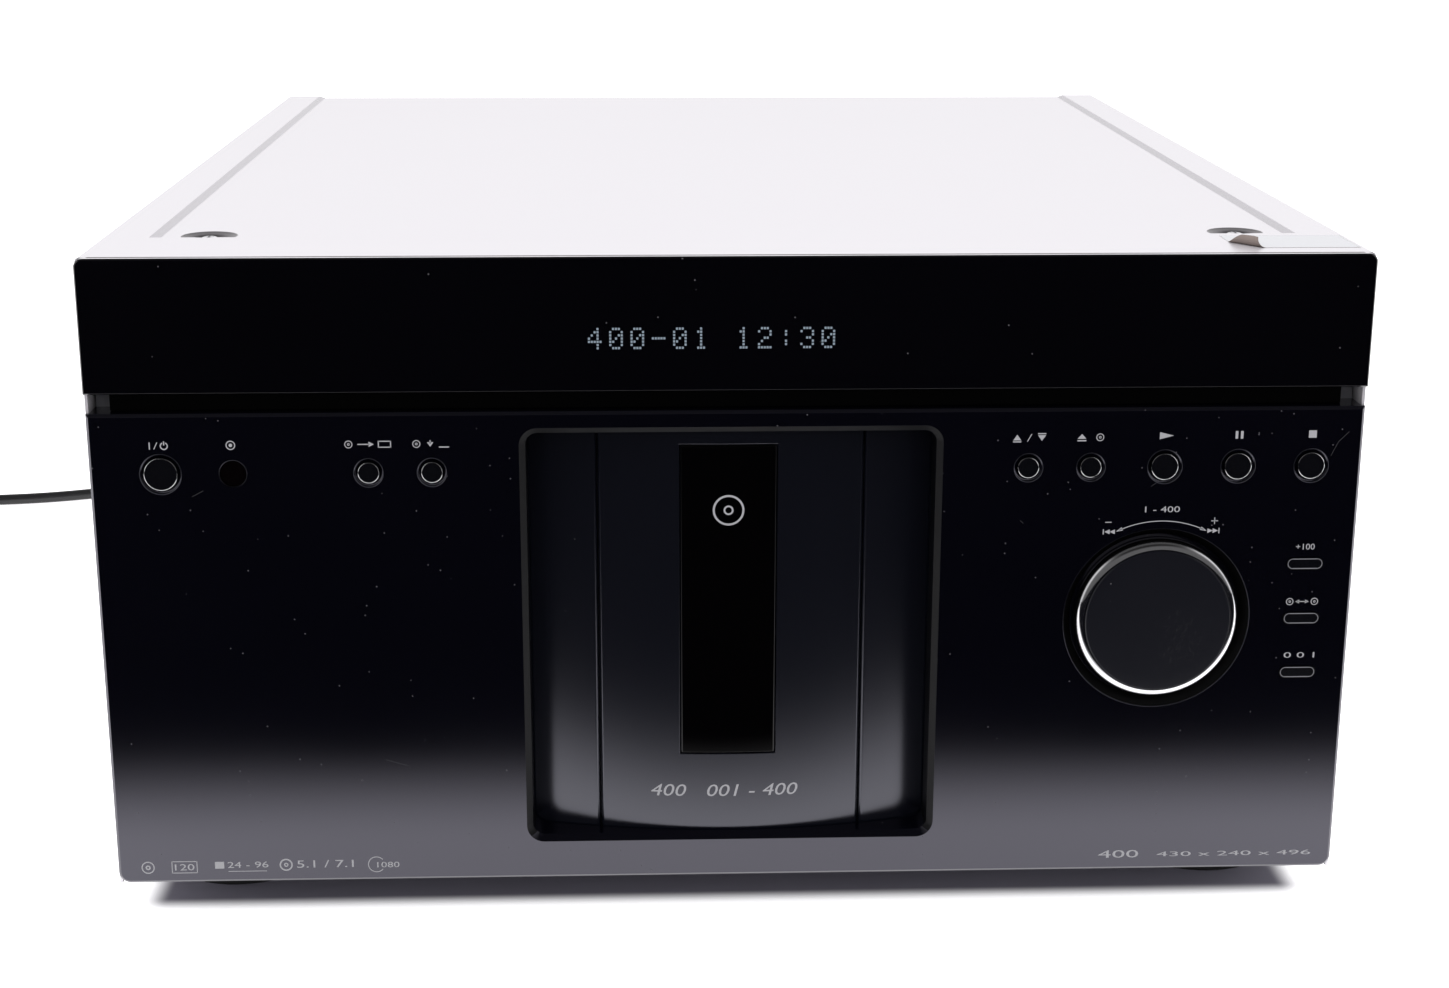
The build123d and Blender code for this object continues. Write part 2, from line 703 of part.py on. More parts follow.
def motor(centre, z, posts, foot_z, radius=12.0, height=24.0):
    """A can motor on a small plate with two posts, its shaft downwards."""
    x, y = centre
    can = turned([(1.0 + shaft_gap, z), (radius, z), (radius, z + height - 1.5), (radius - 1.5, z + height),
                  (0, z + height), (0, z + 8), (1.0 + shaft_gap, z + 8)], (x, y, 0), (0, 0, 1))
    plate = rod((x, y, z - 1.5), (0, 0, 1), radius + 1, 1.5) - rod((x, y, z - 2), (0, 0, 1), 4, 3)
    for px, py in posts:
        lug = rod((px, py, z - 1.5), (0, 0, 1), 4.0, 1.5)
        mid = ((px + x) / 2, (py + y) / 2)
        reach = math.hypot(px - x, py - y)
        arm = Pos(*mid, z - 0.75) * Rot(0, 0, angle_to(mid, (px, py))) * Box(reach - 8.4, 8.0, 1.5)
        plate += lug + arm + rod((px, py, foot_z), (0, 0, 1), 2.5, z - foot_z)
    return can + plate


def make_table_motor():
    """Motor of the carousel, standing on the pan inside the hole of the disc table."""
    x, y = table_motor_centre
    return motor((x, y), table_motor_z, [(x - 4, y - 18), (x - 4, y + 18)], pan_top)


def make_door_motor():
    """Motor of the door, on the upper deck."""
    x, y = door_motor_centre
    reach = 17.0 * math.sqrt(0.5)
    return motor((x, y), deck_top + 7.0, [(x + reach, y + reach), (x - reach, y - reach)], deck_top)


def make_door_motor_pinion():
    """Pinion and shaft of the door's motor."""
    x, y = door_motor_centre
    phase = angle_to(door_motor_centre, door_pinion_centre) + 180.0 / pinion_teeth
    teeth = gear(pinion_teeth, small_module, phase, (x, y, deck_top + 0.8), 3.6)
    return teeth + rod((x, y, deck_top + 4.4), (0, 0, 1), 1.0, 6.0)


def make_door_gear():
    """Pinion inside the door's rack; its shaft goes up through the deck to the wheel."""
    outward = angle_to((0, axis_y), door_pinion_centre)
    z = door_rack_z
    teeth = gear(door_pinion_teeth, rack_module, outward + 180.0 / door_pinion_teeth, (*door_pinion_centre, z),
                 door_rack_height)
    shaft = rod((*door_pinion_centre, z + door_rack_height), (0, 0, 1), 2.0,
                deck_top + 0.8 - z - door_rack_height)
    phase = angle_to(door_pinion_centre, door_motor_centre)
    wheel = gear(door_wheel_teeth, small_module, phase, (*door_pinion_centre, deck_top + 0.8), 3.5)
    return teeth + shaft + wheel


def door_rack():
    """Curved rack inside the door, with its teeth towards the carousel."""
    pitch = 360.0 / rack_teeth
    centre_angle = -90.0 + door_pinion_angle
    span = int(2 * door_half_angle / pitch) - 1
    first = -int((door_pinion_angle + door_half_angle) / pitch)
    corners = tooth_points(rack_teeth, rack_module, centre_angle, True, first, first + span)
    points = [(x, y + axis_y) for x, y in corners]
    back = carrier_inner
    start, end = -door_half_angle, door_half_angle
    arc = ThreePointArc(around(back, end), around(back, (start + end) / 2), around(back, start))
    root = rack_pitch_radius + tooth_dedendum * rack_module
    line = Polyline(around(back, start), around(root, start), *points, around(root, end), around(back, end))
    return Pos(0, 0, door_rack_z) * extrude(make_face([arc, line]), door_rack_height, dir=(0, 0, 1))


def make_door_carrier():
    """Curved inner sheet of the door with its rack; its top and bottom edges run in the rails."""
    sheet = sector(carrier_inner, carrier_outer, -door_half_angle, door_half_angle, carrier_bottom, carrier_top)
    return sheet + door_rack()


def make_door_leaf():
    """Middle leaf of the door's skin, with the pocket for the window strip."""
    half_seam = math.degrees(seam_gap / 2 / door_radius)
    edge = door_seam_angle - half_seam
    leaf = sector(carrier_outer, door_radius, -edge, edge, skin_bottom, skin_top, seam_bevel)
    a0, a1 = strip_angles(strip_gap)
    return leaf - sector(door_radius - strip_sheet, door_radius + 2, a0, a1, strip_bottom - strip_gap,
                         strip_top + strip_gap)


def strip_angles(spread):
    """Left and right edge of the window strip about the carousel's axis, with room around it."""
    half = strip_width / 2 + spread
    return [math.degrees(math.asin((strip_x + side * half) / door_radius)) for side in (-1, 1)]


def make_door_strip():
    """Gloss window strip set into the leaf."""
    a0, a1 = strip_angles(0.0)
    return sector(door_radius - strip_sheet, door_radius + 0.2, a0, a1, strip_bottom, strip_top, 0.3)


def make_door_wings():
    """The two side wings of the door's skin."""
    half_seam = math.degrees(seam_gap / 2 / door_radius)
    near, far = door_seam_angle + half_seam, door_half_angle
    return Compound(children=[sector(carrier_outer, door_radius, a0, a1, skin_bottom, skin_top, seam_bevel)
                              for a0, a1 in ((-far, -near), (near, far))])


def rail_groove(z0, z1):
    """The space that the carrier's edge runs in."""
    return sector(carrier_inner - fit_gap, carrier_outer + fit_gap, rail_start + 1, rail_end - 1, z0, z1)


def lower_rail():
    """Lower door rail: it lies on the panel's bottom wall and on posts on the pan."""
    top = skin_bottom - fit_gap
    rail = sector(rail_inner, rail_outer, rail_start, rail_end, lower_rail_z, top)
    rail -= rail_groove(carrier_bottom - fit_gap, top + 5)
    for angle in (rail_start + 3, -38.0, rail_end - 2.5):
        rail += sector(rail_inner, rail_inner + 5, angle - 1.2, angle + 1.2, pan_top, lower_rail_z)
    return rail


def upper_rail():
    """Upper door rail, hung from the deck by three posts."""
    bottom = skin_top + fit_gap
    rail = sector(rail_inner, rail_outer, rail_start, rail_end, bottom, upper_rail_top)
    rail -= rail_groove(bottom - 5, carrier_top + fit_gap)
    for angle in (rail_start + 3, -38.0, rail_end - 1.2):
        rail += sector(rail_inner, rail_inner + 4.5, angle - 1.2, angle + 1.2, upper_rail_top, deck_z)
    return rail


def make_door_rails():
    """The door's two rails."""
    return Compound(children=[lower_rail(), upper_rail()])


def drive_point(x, y, z):
    """A point in the disc drive, counted from the carousel's axis in the plan."""
    return (x, axis_y + y, z)


def drive_block(x0, x1, y0, y1, z0, z1):
    """A box in the disc drive, counted from the carousel's axis in the plan."""
    return block(x0, x1, axis_y + y0, axis_y + y1, z0, z1)


def make_drive_stand():
    """Folded bracket on the pan that carries the disc drive's plate."""
    foot = drive_block(plate_x - 30, plate_x + 36, -stand_reach, stand_reach, pan_top, pan_top + 2)
    reach = stand_reach - 8
    web = drive_block(plate_x - 2, plate_x, -reach, reach, pan_top + 2, plate_bottom + 10)
    web -= drive_block(plate_x - 3, plate_x + 1, -24, 24, pan_top + 8, plate_bottom - 2)
    stand = foot + web
    for y in (2 - reach, reach - 4):
        gusset = Polyline(drive_point(plate_x - 2, y, pan_top + 2), drive_point(plate_x - 26, y, pan_top + 2),
                          drive_point(plate_x - 2, y, pan_top + 26), close=True)
        stand += extrude(make_face(gusset), 2, dir=(0, 1, 0))
    return stand


def make_drive_plate():
    """Upright base plate of the disc drive, open for the turntable and the pickup."""
    plate = drive_block(plate_x, plate_face, -plate_front, plate_back, plate_bottom, plate_top)
    corners = plate.edges().filter_by(Axis.X)
    plate = chamfer(corners, 12)
    plate -= rod(drive_point(plate_x - 1, 0, spindle_z), (1, 0, 0), turntable_radius + 1.5, plate_sheet + 2)
    window = 14.0
    plate -= drive_block(plate_x - 1, plate_face + 1, sled_start, plate_back - 4, spindle_z - window,
                         spindle_z + window)
    ear = 3.0
    hx, hy = clamp_hinge
    for z0 in (spindle_z - 12, spindle_z + 9):
        lug = drive_block(plate_face, hx + 3, hy - 3, hy + 3, z0, z0 + ear)
        plate += lug - rod(drive_point(hx, hy, z0 - 1), (0, 0, 1), 1.5 + shaft_gap, ear + 2)
    for z in (spindle_z - guide_rod_spread, spindle_z + guide_rod_spread):
        for y in (sled_start - 3.4, plate_back - 4):
            lug = drive_block(plate_x - 10, plate_x, y, y + 3, z - 4, z + 4)
            plate += lug - rod(drive_point(rod_x, y - 1, z), (0, 1, 0), guide_rod_radius, 5)
    return plate + clamp_pin()


def make_guide_rods():
    """Two steel rods that the pickup slides on."""
    found = []
    for z in (spindle_z - guide_rod_spread, spindle_z + guide_rod_spread):
        start = sled_start - 3.4
        found.append(rod(drive_point(rod_x, start, z), (0, 1, 0), guide_rod_radius, plate_back - 1 - start))
    return Compound(children=found)


def make_pickup_sled():
    """Optical pickup: a body with two eyes on the rods, a lens in the window and a rack at its back."""
    y0, y1 = sled_start, sled_start + sled_length
    body = drive_block(plate_x - 11, plate_x - 1, y0, y1, spindle_z - 12, spindle_z + 12)
    for side in (-1, 1):
        z = spindle_z + side * guide_rod_spread
        low, high = sorted((spindle_z + side * 12, z + side * 4))
        body += drive_block(plate_x - 10, plate_x - 2, y0 + 4, y1 - 4, low, high)
        body -= rod(drive_point(rod_x, y0 - 1, z), (0, 1, 0), guide_rod_radius + shaft_gap, sled_length + 2)
    body += drive_block(plate_x - 1, plate_face - 0.5, y0 + 4, y1 - 4, spindle_z - 8, spindle_z + 8)
    centre = drive_point(plate_face - 0.5, sled_start + sled_length / 2, spindle_z)
    lens = turned([(0, 0), (3.4, 0), (3.4, 0.5), (2.2, 1.1), (0, 1.4)], centre, (1, 0, 0))
    return body + lens


def spindle_motor():
    """Flat motor that spins the disc, on a flange against the back of the plate."""
    flange = drive_block(plate_x - 1.5, plate_x, -21, 9, spindle_z - 19, spindle_z + 19)
    flange -= rod(drive_point(plate_x - 2, 0, spindle_z), (1, 0, 0), 4.0, 3)
    can = turned([(1.2 + shaft_gap, 0), (11, 0), (11, 12), (9, 16), (0, 16), (0, 10), (1.2 + shaft_gap, 10)],
                 drive_point(plate_x, 0, spindle_z), (-1, 0, 0))
    return can + flange


def make_turntable():
    """Turntable with the cone that centres the disc, and its shaft."""
    face = -0.8
    hub = 7.4
    return turned([(0, plate_x - 8), (1.2, plate_x - 8), (1.2, plate_face + 1), (turntable_radius, plate_face + 1),
                   (turntable_radius, face), (hub, face), (hub, face + 1.0), (hub - 2, face + 1.5),
                   (0, face + 1.5)], drive_point(0, 0, spindle_z), (1, 0, 0))


def opened(shape):
    """The clamp's pieces are drawn closed and stand open at rest."""
    x, y = clamp_hinge
    about = Pos(x, axis_y + y, 0) * Rot(0, 0, -clamp_open_angle) * Pos(-x, -(axis_y + y), 0)
    return about * shape


def make_clamp_arm():
    """Arm that swings the clamp's puck towards the turntable."""
    hx, hy = clamp_hinge
    arm = drive_block(hx - 1.5, hx + 1.5, hy + 3.6, 12, spindle_z - 7, spindle_z + 7)
    arm = chamfer(arm.edges().filter_by(Axis.X).group_by(Axis.Y)[-1], 4)
    arm += rod(drive_point(hx, hy, spindle_z - 8.7), (0, 0, 1), 3.2, 17.4)
    arm += drive_block(hx - 1.5, hx + 1.5, hy, hy + 4, spindle_z - 7, spindle_z + 7)
    arm -= rod(drive_point(hx, hy, spindle_z - 20), (0, 0, 1), 1.5 + shaft_gap, 40)
    return opened(arm)


def clamp_pin():
    """Hinge pin of the clamp arm, fast in the plate's ears."""
    hx, hy = clamp_hinge
    return turned([(0, spindle_z - 13.5), (2.6, spindle_z - 13.5), (2.6, spindle_z - 12),
                   (1.5, spindle_z - 12), (1.5, spindle_z + 12.6), (0, spindle_z + 12.6)],
                  drive_point(hx, hy, 0), (0, 0, 1))


def make_clamp_puck():
    """Round puck that presses the disc on the turntable, hollow over the cone."""
    hx = clamp_hinge[0]
    return opened(turned([(0, 4.2), (8.4, 4.2), (8.4, 0.9), (13, 0.9), (13, 4.0), (10, 6.0), (10, hx - 1.5),
                          (0, hx - 1.5)], drive_point(0, 0, spindle_z), (1, 0, 0)))


def sled_motor():
    """Motor that moves the pickup, under its rack, held by a bracket on the base plate."""
    x = plate_x
    y = plate_back - 22.0
    low = spindle_z - guide_rod_spread - 22.0
    can = rod(drive_point(x - 22, y, low), (0, 0, 1), 7.0, 14)
    bracket = drive_block(x - 16, x, y - 6, y + 6, low, low + 1.5)
    return can + bracket


def make_drive_motors():
    """The disc drive's two motors."""
    return Compound(children=[spindle_motor(), sled_motor()])


def lever_post():
    """Upright post behind the carousel, with the pin that the loading lever turns on."""
    y = carousel_radius + 9.0
    post = drive_block(4.0, 12.0, y, y + 12, pan_top, lever_z + 6)
    foot = drive_block(2.0, 30.0, y - 2, y + 20, pan_top, pan_top + 2)
    pin = rod(drive_point(-4.0, y + 6, lever_z), (1, 0, 0), 2.0, 9.0)
    return post + foot + pin


def make_loading_lever():
    """Thin lever that pushes a disc out of its slot into the drive."""
    y = carousel_radius + 15.0
    lever = drive_block(-1.2, 1.2, y - 3, y + 3, lever_z, lever_z + lever_reach)
    lever += rod(drive_point(-3.0, y, lever_z), (1, 0, 0), 5.0, 6.4)
    lever += rod(drive_point(-1.2, y - 1, lever_z + lever_reach), (1, 0, 0), 5.0, 2.4)
    return lever - rod(drive_point(-9, y, lever_z), (1, 0, 0), 2.0 + shaft_gap, 20)


def make_main_board():
    """Main circuit board over the deck with its large chips and capacitors."""
    y0 = axis_y - 30
    z = board_z
    board = block(-120, 110, y0, back_y - cover_sheet - frame_sheet - small_gap, z, board_top)
    for x, y, w in ((-60, 60, 34), (20, 60, 26), (-60, 130, 22), (60, 120, 18)):
        board += block(x - w / 2, x + w / 2, y0 + y - w / 2, y0 + y + w / 2, z + 1.6, z + 3.6)
    for x, y in ((-112, 8), (102, 8), (-112, 182), (102, 182)):
        board += rod((x, y0 + y, deck_top), (0, 0, 1), 3.0, 6.0)
    return board + heat_sink()


def heat_sink():
    """Finned block on the largest chip."""
    z = board_top + 2.0
    x, y = -60, axis_y + 30
    sink = block(x - 20, x + 20, y - 20, y + 20, z, z + 3)
    for i in range(8):
        fin = x - 20 + i * 5.4
        sink += block(fin, fin + 1.8, y - 20, y + 20, z + 3, z + 18)
    return sink


def make_power_board():
    """Power supply board in the corner behind the carousel."""
    x0, y0, top = power_parts_place()
    x1, y1 = x0 + power_board_width, y0 + power_board_depth
    board = block(x0, x1, y0, y1, top - board_sheet, top)
    for x in (x0 + 6, x1 - 6):
        for y in (y0 + 6, y1 - 6):
            board += rod((x, y, pan_top), (0, 0, 1), 3.0, 6.0)
    return board + transformer() + capacitors()


def power_parts_place():
    """Left front corner of the power supply board."""
    return -inner_x + 8, inner_back - 6 - power_board_depth, pan_top + 6 + board_sheet


def transformer():
    """Switching transformer on the power supply board."""
    x, y, z = power_parts_place()
    core = block(x + 38, x + 68, y + 8, y + 34, z, z + 24)
    return core + block(x + 34, x + 72, y + 12, y + 30, z + 2, z + 22)


def capacitors():
    """Three large capacitors on the power supply board."""
    x, y, z = power_parts_place()
    found = rod((x + 16, y + 16, z), (0, 0, 1), 10, 30)
    for dx in (44, 60):
        found += rod((x + dx, y + 54, z), (0, 0, 1), 6, 20)
    return found


def control_board(names, x0, x1, z0, z1):
    """Circuit board behind the buttons with one switch for each."""
    y1 = frame_y - 0.4
    y0 = y1 - 1.6
    face = switch_face()
    board = block(x0, x1, y0, y1, z0, z1)
    for x, z in names:
        board += block(x - 3, x + 3, face + 0.6, y0, z - 3, z + 3)
        board += block(x - 1.2, x + 1.2, face, face + 0.6, z - 1.2, z + 1.2)
    return board


def stem_end():
    """Where a button's stem ends at rest."""
    return front_y + wall + 0.3 + 1.2 + 1.0


def switch_face():
    """Front of the switches: clear of a button's stem when it is pressed."""
    return stem_end() + button_travel + fit_gap


def left_board():
    """Board behind the power button, the sensor and the two small buttons."""
    places = [(x, button_row_z) for x, _ in round_buttons.values() if x < 0]
    board = control_board(places, from_side(-11.0), from_side(-125.0), button_row_z - 12, button_row_z + 12)
    return board + block(sensor_x - 4, sensor_x + 4, front_y + wall + 2.2, frame_y - 1.8,
                         button_row_z - 4, button_row_z + 4)


def right_board():
    """Board behind the buttons and the dial at the right."""
    places = [(x, button_row_z) for x, _ in round_buttons.values() if x > 0]
    places += [(oblong_x, z) for z in oblong_buttons.values()]
    board = control_board(places, from_side(125.0), from_side(8.0), button_row_z - 100, button_row_z + 12)
    board -= rod((dial_x, frame_y - 4, dial_z), (0, 1, 0), 6.5, 6)
    return board + dial_encoder()


def make_control_boards():
    """The two button boards with the sensor and the dial's encoder."""
    return Compound(children=[left_board(), right_board()])


def dial_encoder():
    """Turning sensor behind the dial; its bush carries the dial's shaft."""
    y = frame_y - 3.0
    return turned([(dial_shaft_radius + shaft_gap, 0), (5.4, 0), (5.4, 1.0), (7.0, 1.0), (7.0, 6.0), (13, 6.0),
                   (13, 14), (0, 14), (0, 12), (dial_shaft_radius + shaft_gap, 12)],
                  (dial_x, y, dial_z), (0, 1, 0))


def make_dial_cap():
    """Matt face of the dial, with the shaft into the encoder."""
    y = front_y
    edge = dial_cap_radius
    return turned([(0, -dial_proud), (edge - 0.4, -dial_proud), (edge, -dial_proud + 0.4), (edge, 1.4),
                   (4.6, 1.4), (4.6, 8.0), (dial_shaft_radius, 8.0), (dial_shaft_radius, 20.0), (0, 20.0)],
                  (dial_x, y, dial_z), (0, 1, 0))


def make_dial_ring():
    """Bright bevelled ring around the dial's face."""
    inner = dial_cap_radius
    return turned([(inner, -dial_proud + 0.7), (inner + 0.5, -dial_proud + 0.5), (dial_radius - 0.3, -0.2),
                   (dial_radius, 0.3), (dial_radius, 3.4), (inner - 4, 3.4), (inner - 4, 1.4), (inner, 1.4)],
                  (dial_x, front_y, dial_z), (0, 1, 0))


def make_round_button(x, radius):
    """Round push button: cap, square flange behind the panel and stem."""
    back = front_y + wall + 0.3
    cap = turned([(0, -0.1), (radius - 0.25, -0.1), (radius, 0.15), (radius, wall + 0.3), (0, wall + 0.3)],
                 (x, front_y, button_row_z), (0, 1, 0))
    half = radius + 1.2
    flange = block(x - half, x + half, back, back + 1.2, button_row_z - half, button_row_z + half)
    stem = block(x - 1.5, x + 1.5, back + 1.2, stem_end(), button_row_z - 1.5, button_row_z + 1.5)
    return cap + flange + stem


def make_oblong_button(z):
    """Oblong push button: cap with round ends, flange and stem."""
    back = front_y + wall + 0.3
    cap = slot_form(oblong_x, z, oblong_length, oblong_height, front_y - 0.3, wall + 0.6)
    across, up = oblong_length / 2 + 1.0, oblong_height / 2 + 1.0
    flange = block(oblong_x - across, oblong_x + across, back, back + 1.2, z - up, z + up)
    stem = block(oblong_x - 1.5, oblong_x + 1.5, back + 1.2, stem_end(), z - 1.5, z + 1.5)
    return cap + flange + stem


def make_sensor_window():
    """Dark window over the infrared sensor."""
    return turned([(0, 1.2), (sensor_radius, 1.2), (sensor_radius, wall), (sensor_radius + 1.5, wall),
                   (sensor_radius + 1.5, wall + 1.0), (0, wall + 1.0)],
                  (sensor_x, front_y, button_row_z), (0, 1, 0))


def make_display_module():
    """Readout tube behind the gloss panel, on its board."""
    y = front_y + wall + 0.1
    tube = block(display_x - 52, display_x + 52, y, y + 4, display_z - 9, display_z + 9)
    board = block(display_x - 62, display_x + 62, y + 4, frame_y - 0.1, display_z - 14, display_z + 14)
    return tube + board


def make_fan_frame():
    """Square fan frame on the deck, against the rear panel, with its motor on three arms."""
    y1 = back_y - cover_sheet - frame_sheet - small_gap
    y0 = y1 - fan_depth
    half = fan_size / 2
    frame = block(fan_x - half, fan_x + half, y0, y1, fan_z - half, fan_z + half)
    frame -= rod((fan_x, y0 - 1, fan_z), (0, 1, 0), fan_radius + 0.8, fan_depth + 2)
    for angle in (90, 210, 330):
        arm = Pos(fan_x, y0 + 1, fan_z) * Rot(0, angle, 0) * Pos(fan_radius / 2 + 0.5, 0, 0)
        frame += arm * Box(fan_radius + 1, 2, 3)
    frame += rod((fan_x, y0, fan_z), (0, 1, 0), 7.0, 2.0)
    return frame + block(fan_x - 6, fan_x + 6, y0, y1, deck_top, fan_z - half)


def make_fan_impeller():
    """Fan wheel: a cup with slanted blades."""
    y0 = back_y - cover_sheet - frame_sheet - small_gap - fan_depth + 2.5
    wheel = rod((fan_x, y0, fan_z), (0, 1, 0), 8.0, 9.5)
    blades = 7
    for i in range(blades):
        blade = Pos(12.2, 0, 0) * Rot(40, 0, 0) * Box(9.6, 1.0, 9.0)
        wheel += Pos(fan_x, y0 + 4.7, fan_z) * Rot(0, i * 360 / blades, 0) * blade
    return wheel


def make_cord_gland():
    """Tapered strain relief moulded on the mains lead, where it leaves the rear panel."""
    y = back_y - cover_sheet
    r = cord_diameter / 2
    return turned([(0, -frame_sheet - 3), (r + 5.5, -frame_sheet - 3), (r + 5.5, -frame_sheet),
                   (r + 2.5, -frame_sheet), (r + 2.5, 0), (r + 5, 0), (r + 4.6, 5), (r + 1.4, gland_length),
                   (0, gland_length)], (gland_x, y, gland_z), (0, 1, 0))


# The mains lead's points: across, back from the front panel, and up from the table
cord_points = [
    (gland_x, casing_depth - cover_sheet + gland_length, gland_z),
    (gland_x, 541.0, gland_z),
    (-172.0, 568.0, 33.0),
    (-193.0, 586.0, 14.0),
    (-224.0, 591.0, 3.6),
    (-262.0, 588.0, 3.0),
    (-302.0, 578.0, 3.0),
    (-340.0, 566.5, 3.0),
    (-371.0, 555.5, 3.0),
    (-404.0, 550.5, 3.0),
    (-437.0, 550.5, 3.0),
]


def bend_radii(points):
    """The largest arc that each corner's runs leave room for."""
    found = []
    for a, b, c in zip(points, points[1:], points[2:]):
        before, after = Vector(*b) - Vector(*a), Vector(*c) - Vector(*b)
        turn = math.radians(before.get_angle(after))
        found.append(0.45 * min(before.length, after.length) / math.tan(turn / 2))
    return found


def make_power_cord():
    """The lead from the strain relief to its coil, straight runs joined by arcs."""
    points = [(x, front_y + y, z) for x, y, z in cord_points]
    radii = bend_radii(points)
    path = FilletPolyline(*points, radius=radii)
    print("lead: length", round(path.length, 1), "radii", [round(r, 1) for r in radii])
    return tube_along(path, cord_sides)


def tube_along(path, sides=0):
    """A tube of the lead's diameter along a path, round or with flat sides, one of them underneath."""
    section = Plane(origin=path @ 0, x_dir=(0, 0, 1), z_dir=path % 0)
    if sides:
        corner = cord_diameter / 2 / math.cos(math.pi / sides)
        outline = section * Rot(0, 0, 180 / sides) * RegularPolygon(corner, sides)
    else:
        outline = section * Circle(cord_diameter / 2)
    return sweep(outline, path=path)


def coil_path():
    """The coil's line: half turns that draw in, climb a layer and go out again, then a bend to the plug."""
    x, y, z = cord_points[-1]
    x, y = x - cord_diameter, front_y + y
    step = (cord_diameter + coil_gap) / 2
    halves = coil_turns * 2 - 1
    middle = halves // 2
    line = [Line((x + cord_diameter, y, z), (x, y, z))]
    low = z
    radius = coil_inner_radius + middle * step
    side = -1
    for i in range(halves):
        high = low + 2 * step if i == middle else low
        end = (x, y + side * 2 * radius, high)
        bulge = (x + side * math.hypot(radius, (high - low) / 2), y + side * radius, (low + high) / 2)
        line.append(ThreePointArc((x, y, low), bulge, end))
        y, low = end[1], high
        side = -side
        radius += step if i >= middle else -step
    bend = 5 * cord_diameter
    quarter = bend * math.sqrt(0.5)
    line.append(ThreePointArc((x, y, low), (x + quarter, y - bend + quarter, low), (x + bend, y - bend, low)))
    line.append(Line((x + bend, y - bend, low), (x + bend, y - bend - cord_diameter, low)))
    return line


def least_gap(points, diameter):
    """The least clear distance between stretches of a tube that are over half a turn apart."""
    skip = 12
    least = 1e9
    for i, a in enumerate(points):
        for b in points[i + skip:]:
            least = min(least, math.dist(a, b) - diameter)
    return least


def make_power_coil():
    """The spare length of the lead, wound for storage."""
    line = coil_path()
    samples = [tuple(e @ (t / 12)) for e in line[1:-1] for t in range(12)]
    print("coil: length", round(sum(e.length for e in line), 1), "least gap",
          round(least_gap(samples, cord_diameter), 2))
    return tube_along(Wire(line), coil_sides)


def make_power_plug():
    """Moulded plug with two flat blades, beside the coil."""
    x, y, z = tuple(coil_path()[-1] @ 1)
    relief = 16.0
    r = cord_diameter / 2
    plug = turned([(0, 0), (r + 0.6, 0), (r + 2.4, relief), (0, relief)], (x, y, z), (0, -1, 0))
    half, tall = 11.0, z
    body = block(x - half, x + half, y - relief - plug_length, y - relief, z - tall, z + tall)
    body = fillet(body.edges().filter_by(Axis.Y), 5)
    plug += body
    tip = y - relief - plug_length
    for side in (-1, 1):
        plug += block(x + side * 6.3 - 0.8, x + side * 6.3 + 0.8, tip - 17, tip, z - 3.2, z + 3.2)
    return plug


parts = {
    "bottom_chassis": make_bottom_chassis,
    "feet": make_feet,
    "foot_pads": make_foot_pads,
    "top_cover": make_top_cover,
    "casing_screws": make_casing_screws,
    "front_frame": make_front_frame,
    "upper_deck": make_upper_deck,
    "lower_fascia": make_lower_fascia,
    "upper_fascia": make_upper_fascia,
    "groove_trim": make_groove_trim,
    "rear_panel": make_rear_panel,
    "rear_sockets": make_rear_sockets,
    "carousel_table": make_carousel_table,
    "slot_ring": make_slot_ring,
    "ring_gear": make_ring_gear,
    "carousel_bearings": make_carousel_bearings,
    "table_drive_gear": make_table_drive_gear,
    "table_pinion": make_table_pinion,
    "table_motor": make_table_motor,
    "door_motor": make_door_motor,
    "door_motor_pinion": make_door_motor_pinion,
    "door_gear": make_door_gear,
    "door_carrier": make_door_carrier,
    "door_leaf": make_door_leaf,
    "door_strip": make_door_strip,
    "door_wings": make_door_wings,
    "door_rails": make_door_rails,
    "drive_stand": make_drive_stand,
    "drive_plate": make_drive_plate,
    "guide_rods": make_guide_rods,
    "pickup_sled": make_pickup_sled,
    "drive_motors": make_drive_motors,
    "turntable": make_turntable,
    "clamp_arm": make_clamp_arm,
    "clamp_puck": make_clamp_puck,
    "loading_lever": make_loading_lever,
    "main_board": make_main_board,
    "power_board": make_power_board,
    "control_boards": make_control_boards,
    "display_module": make_display_module,
    "dial_cap": make_dial_cap,
    "dial_ring": make_dial_ring,
    "sensor_window": make_sensor_window,
    "fan_frame": make_fan_frame,
    "fan_impeller": make_fan_impeller,
    "cord_gland": make_cord_gland,
    "power_cord": make_power_cord,
    "power_cord_coil": make_power_coil,
    "power_plug": make_power_plug,
}

os.makedirs("parts", exist_ok=True)
for name, make in parts.items():
    export_step(make(), f"parts/{name}.step")
for name, (x, radius) in round_buttons.items():
    export_step(make_round_button(x, radius), f"parts/{name}.step")
for name, z in oblong_buttons.items():
    export_step(make_oblong_button(z), f"parts/{name}.step")
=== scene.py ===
"""Looks of the disc changer: finishes, prints, screws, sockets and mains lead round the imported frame."""
import json
import math
import random

import bmesh
import bpy
from mathutils import Matrix, Vector

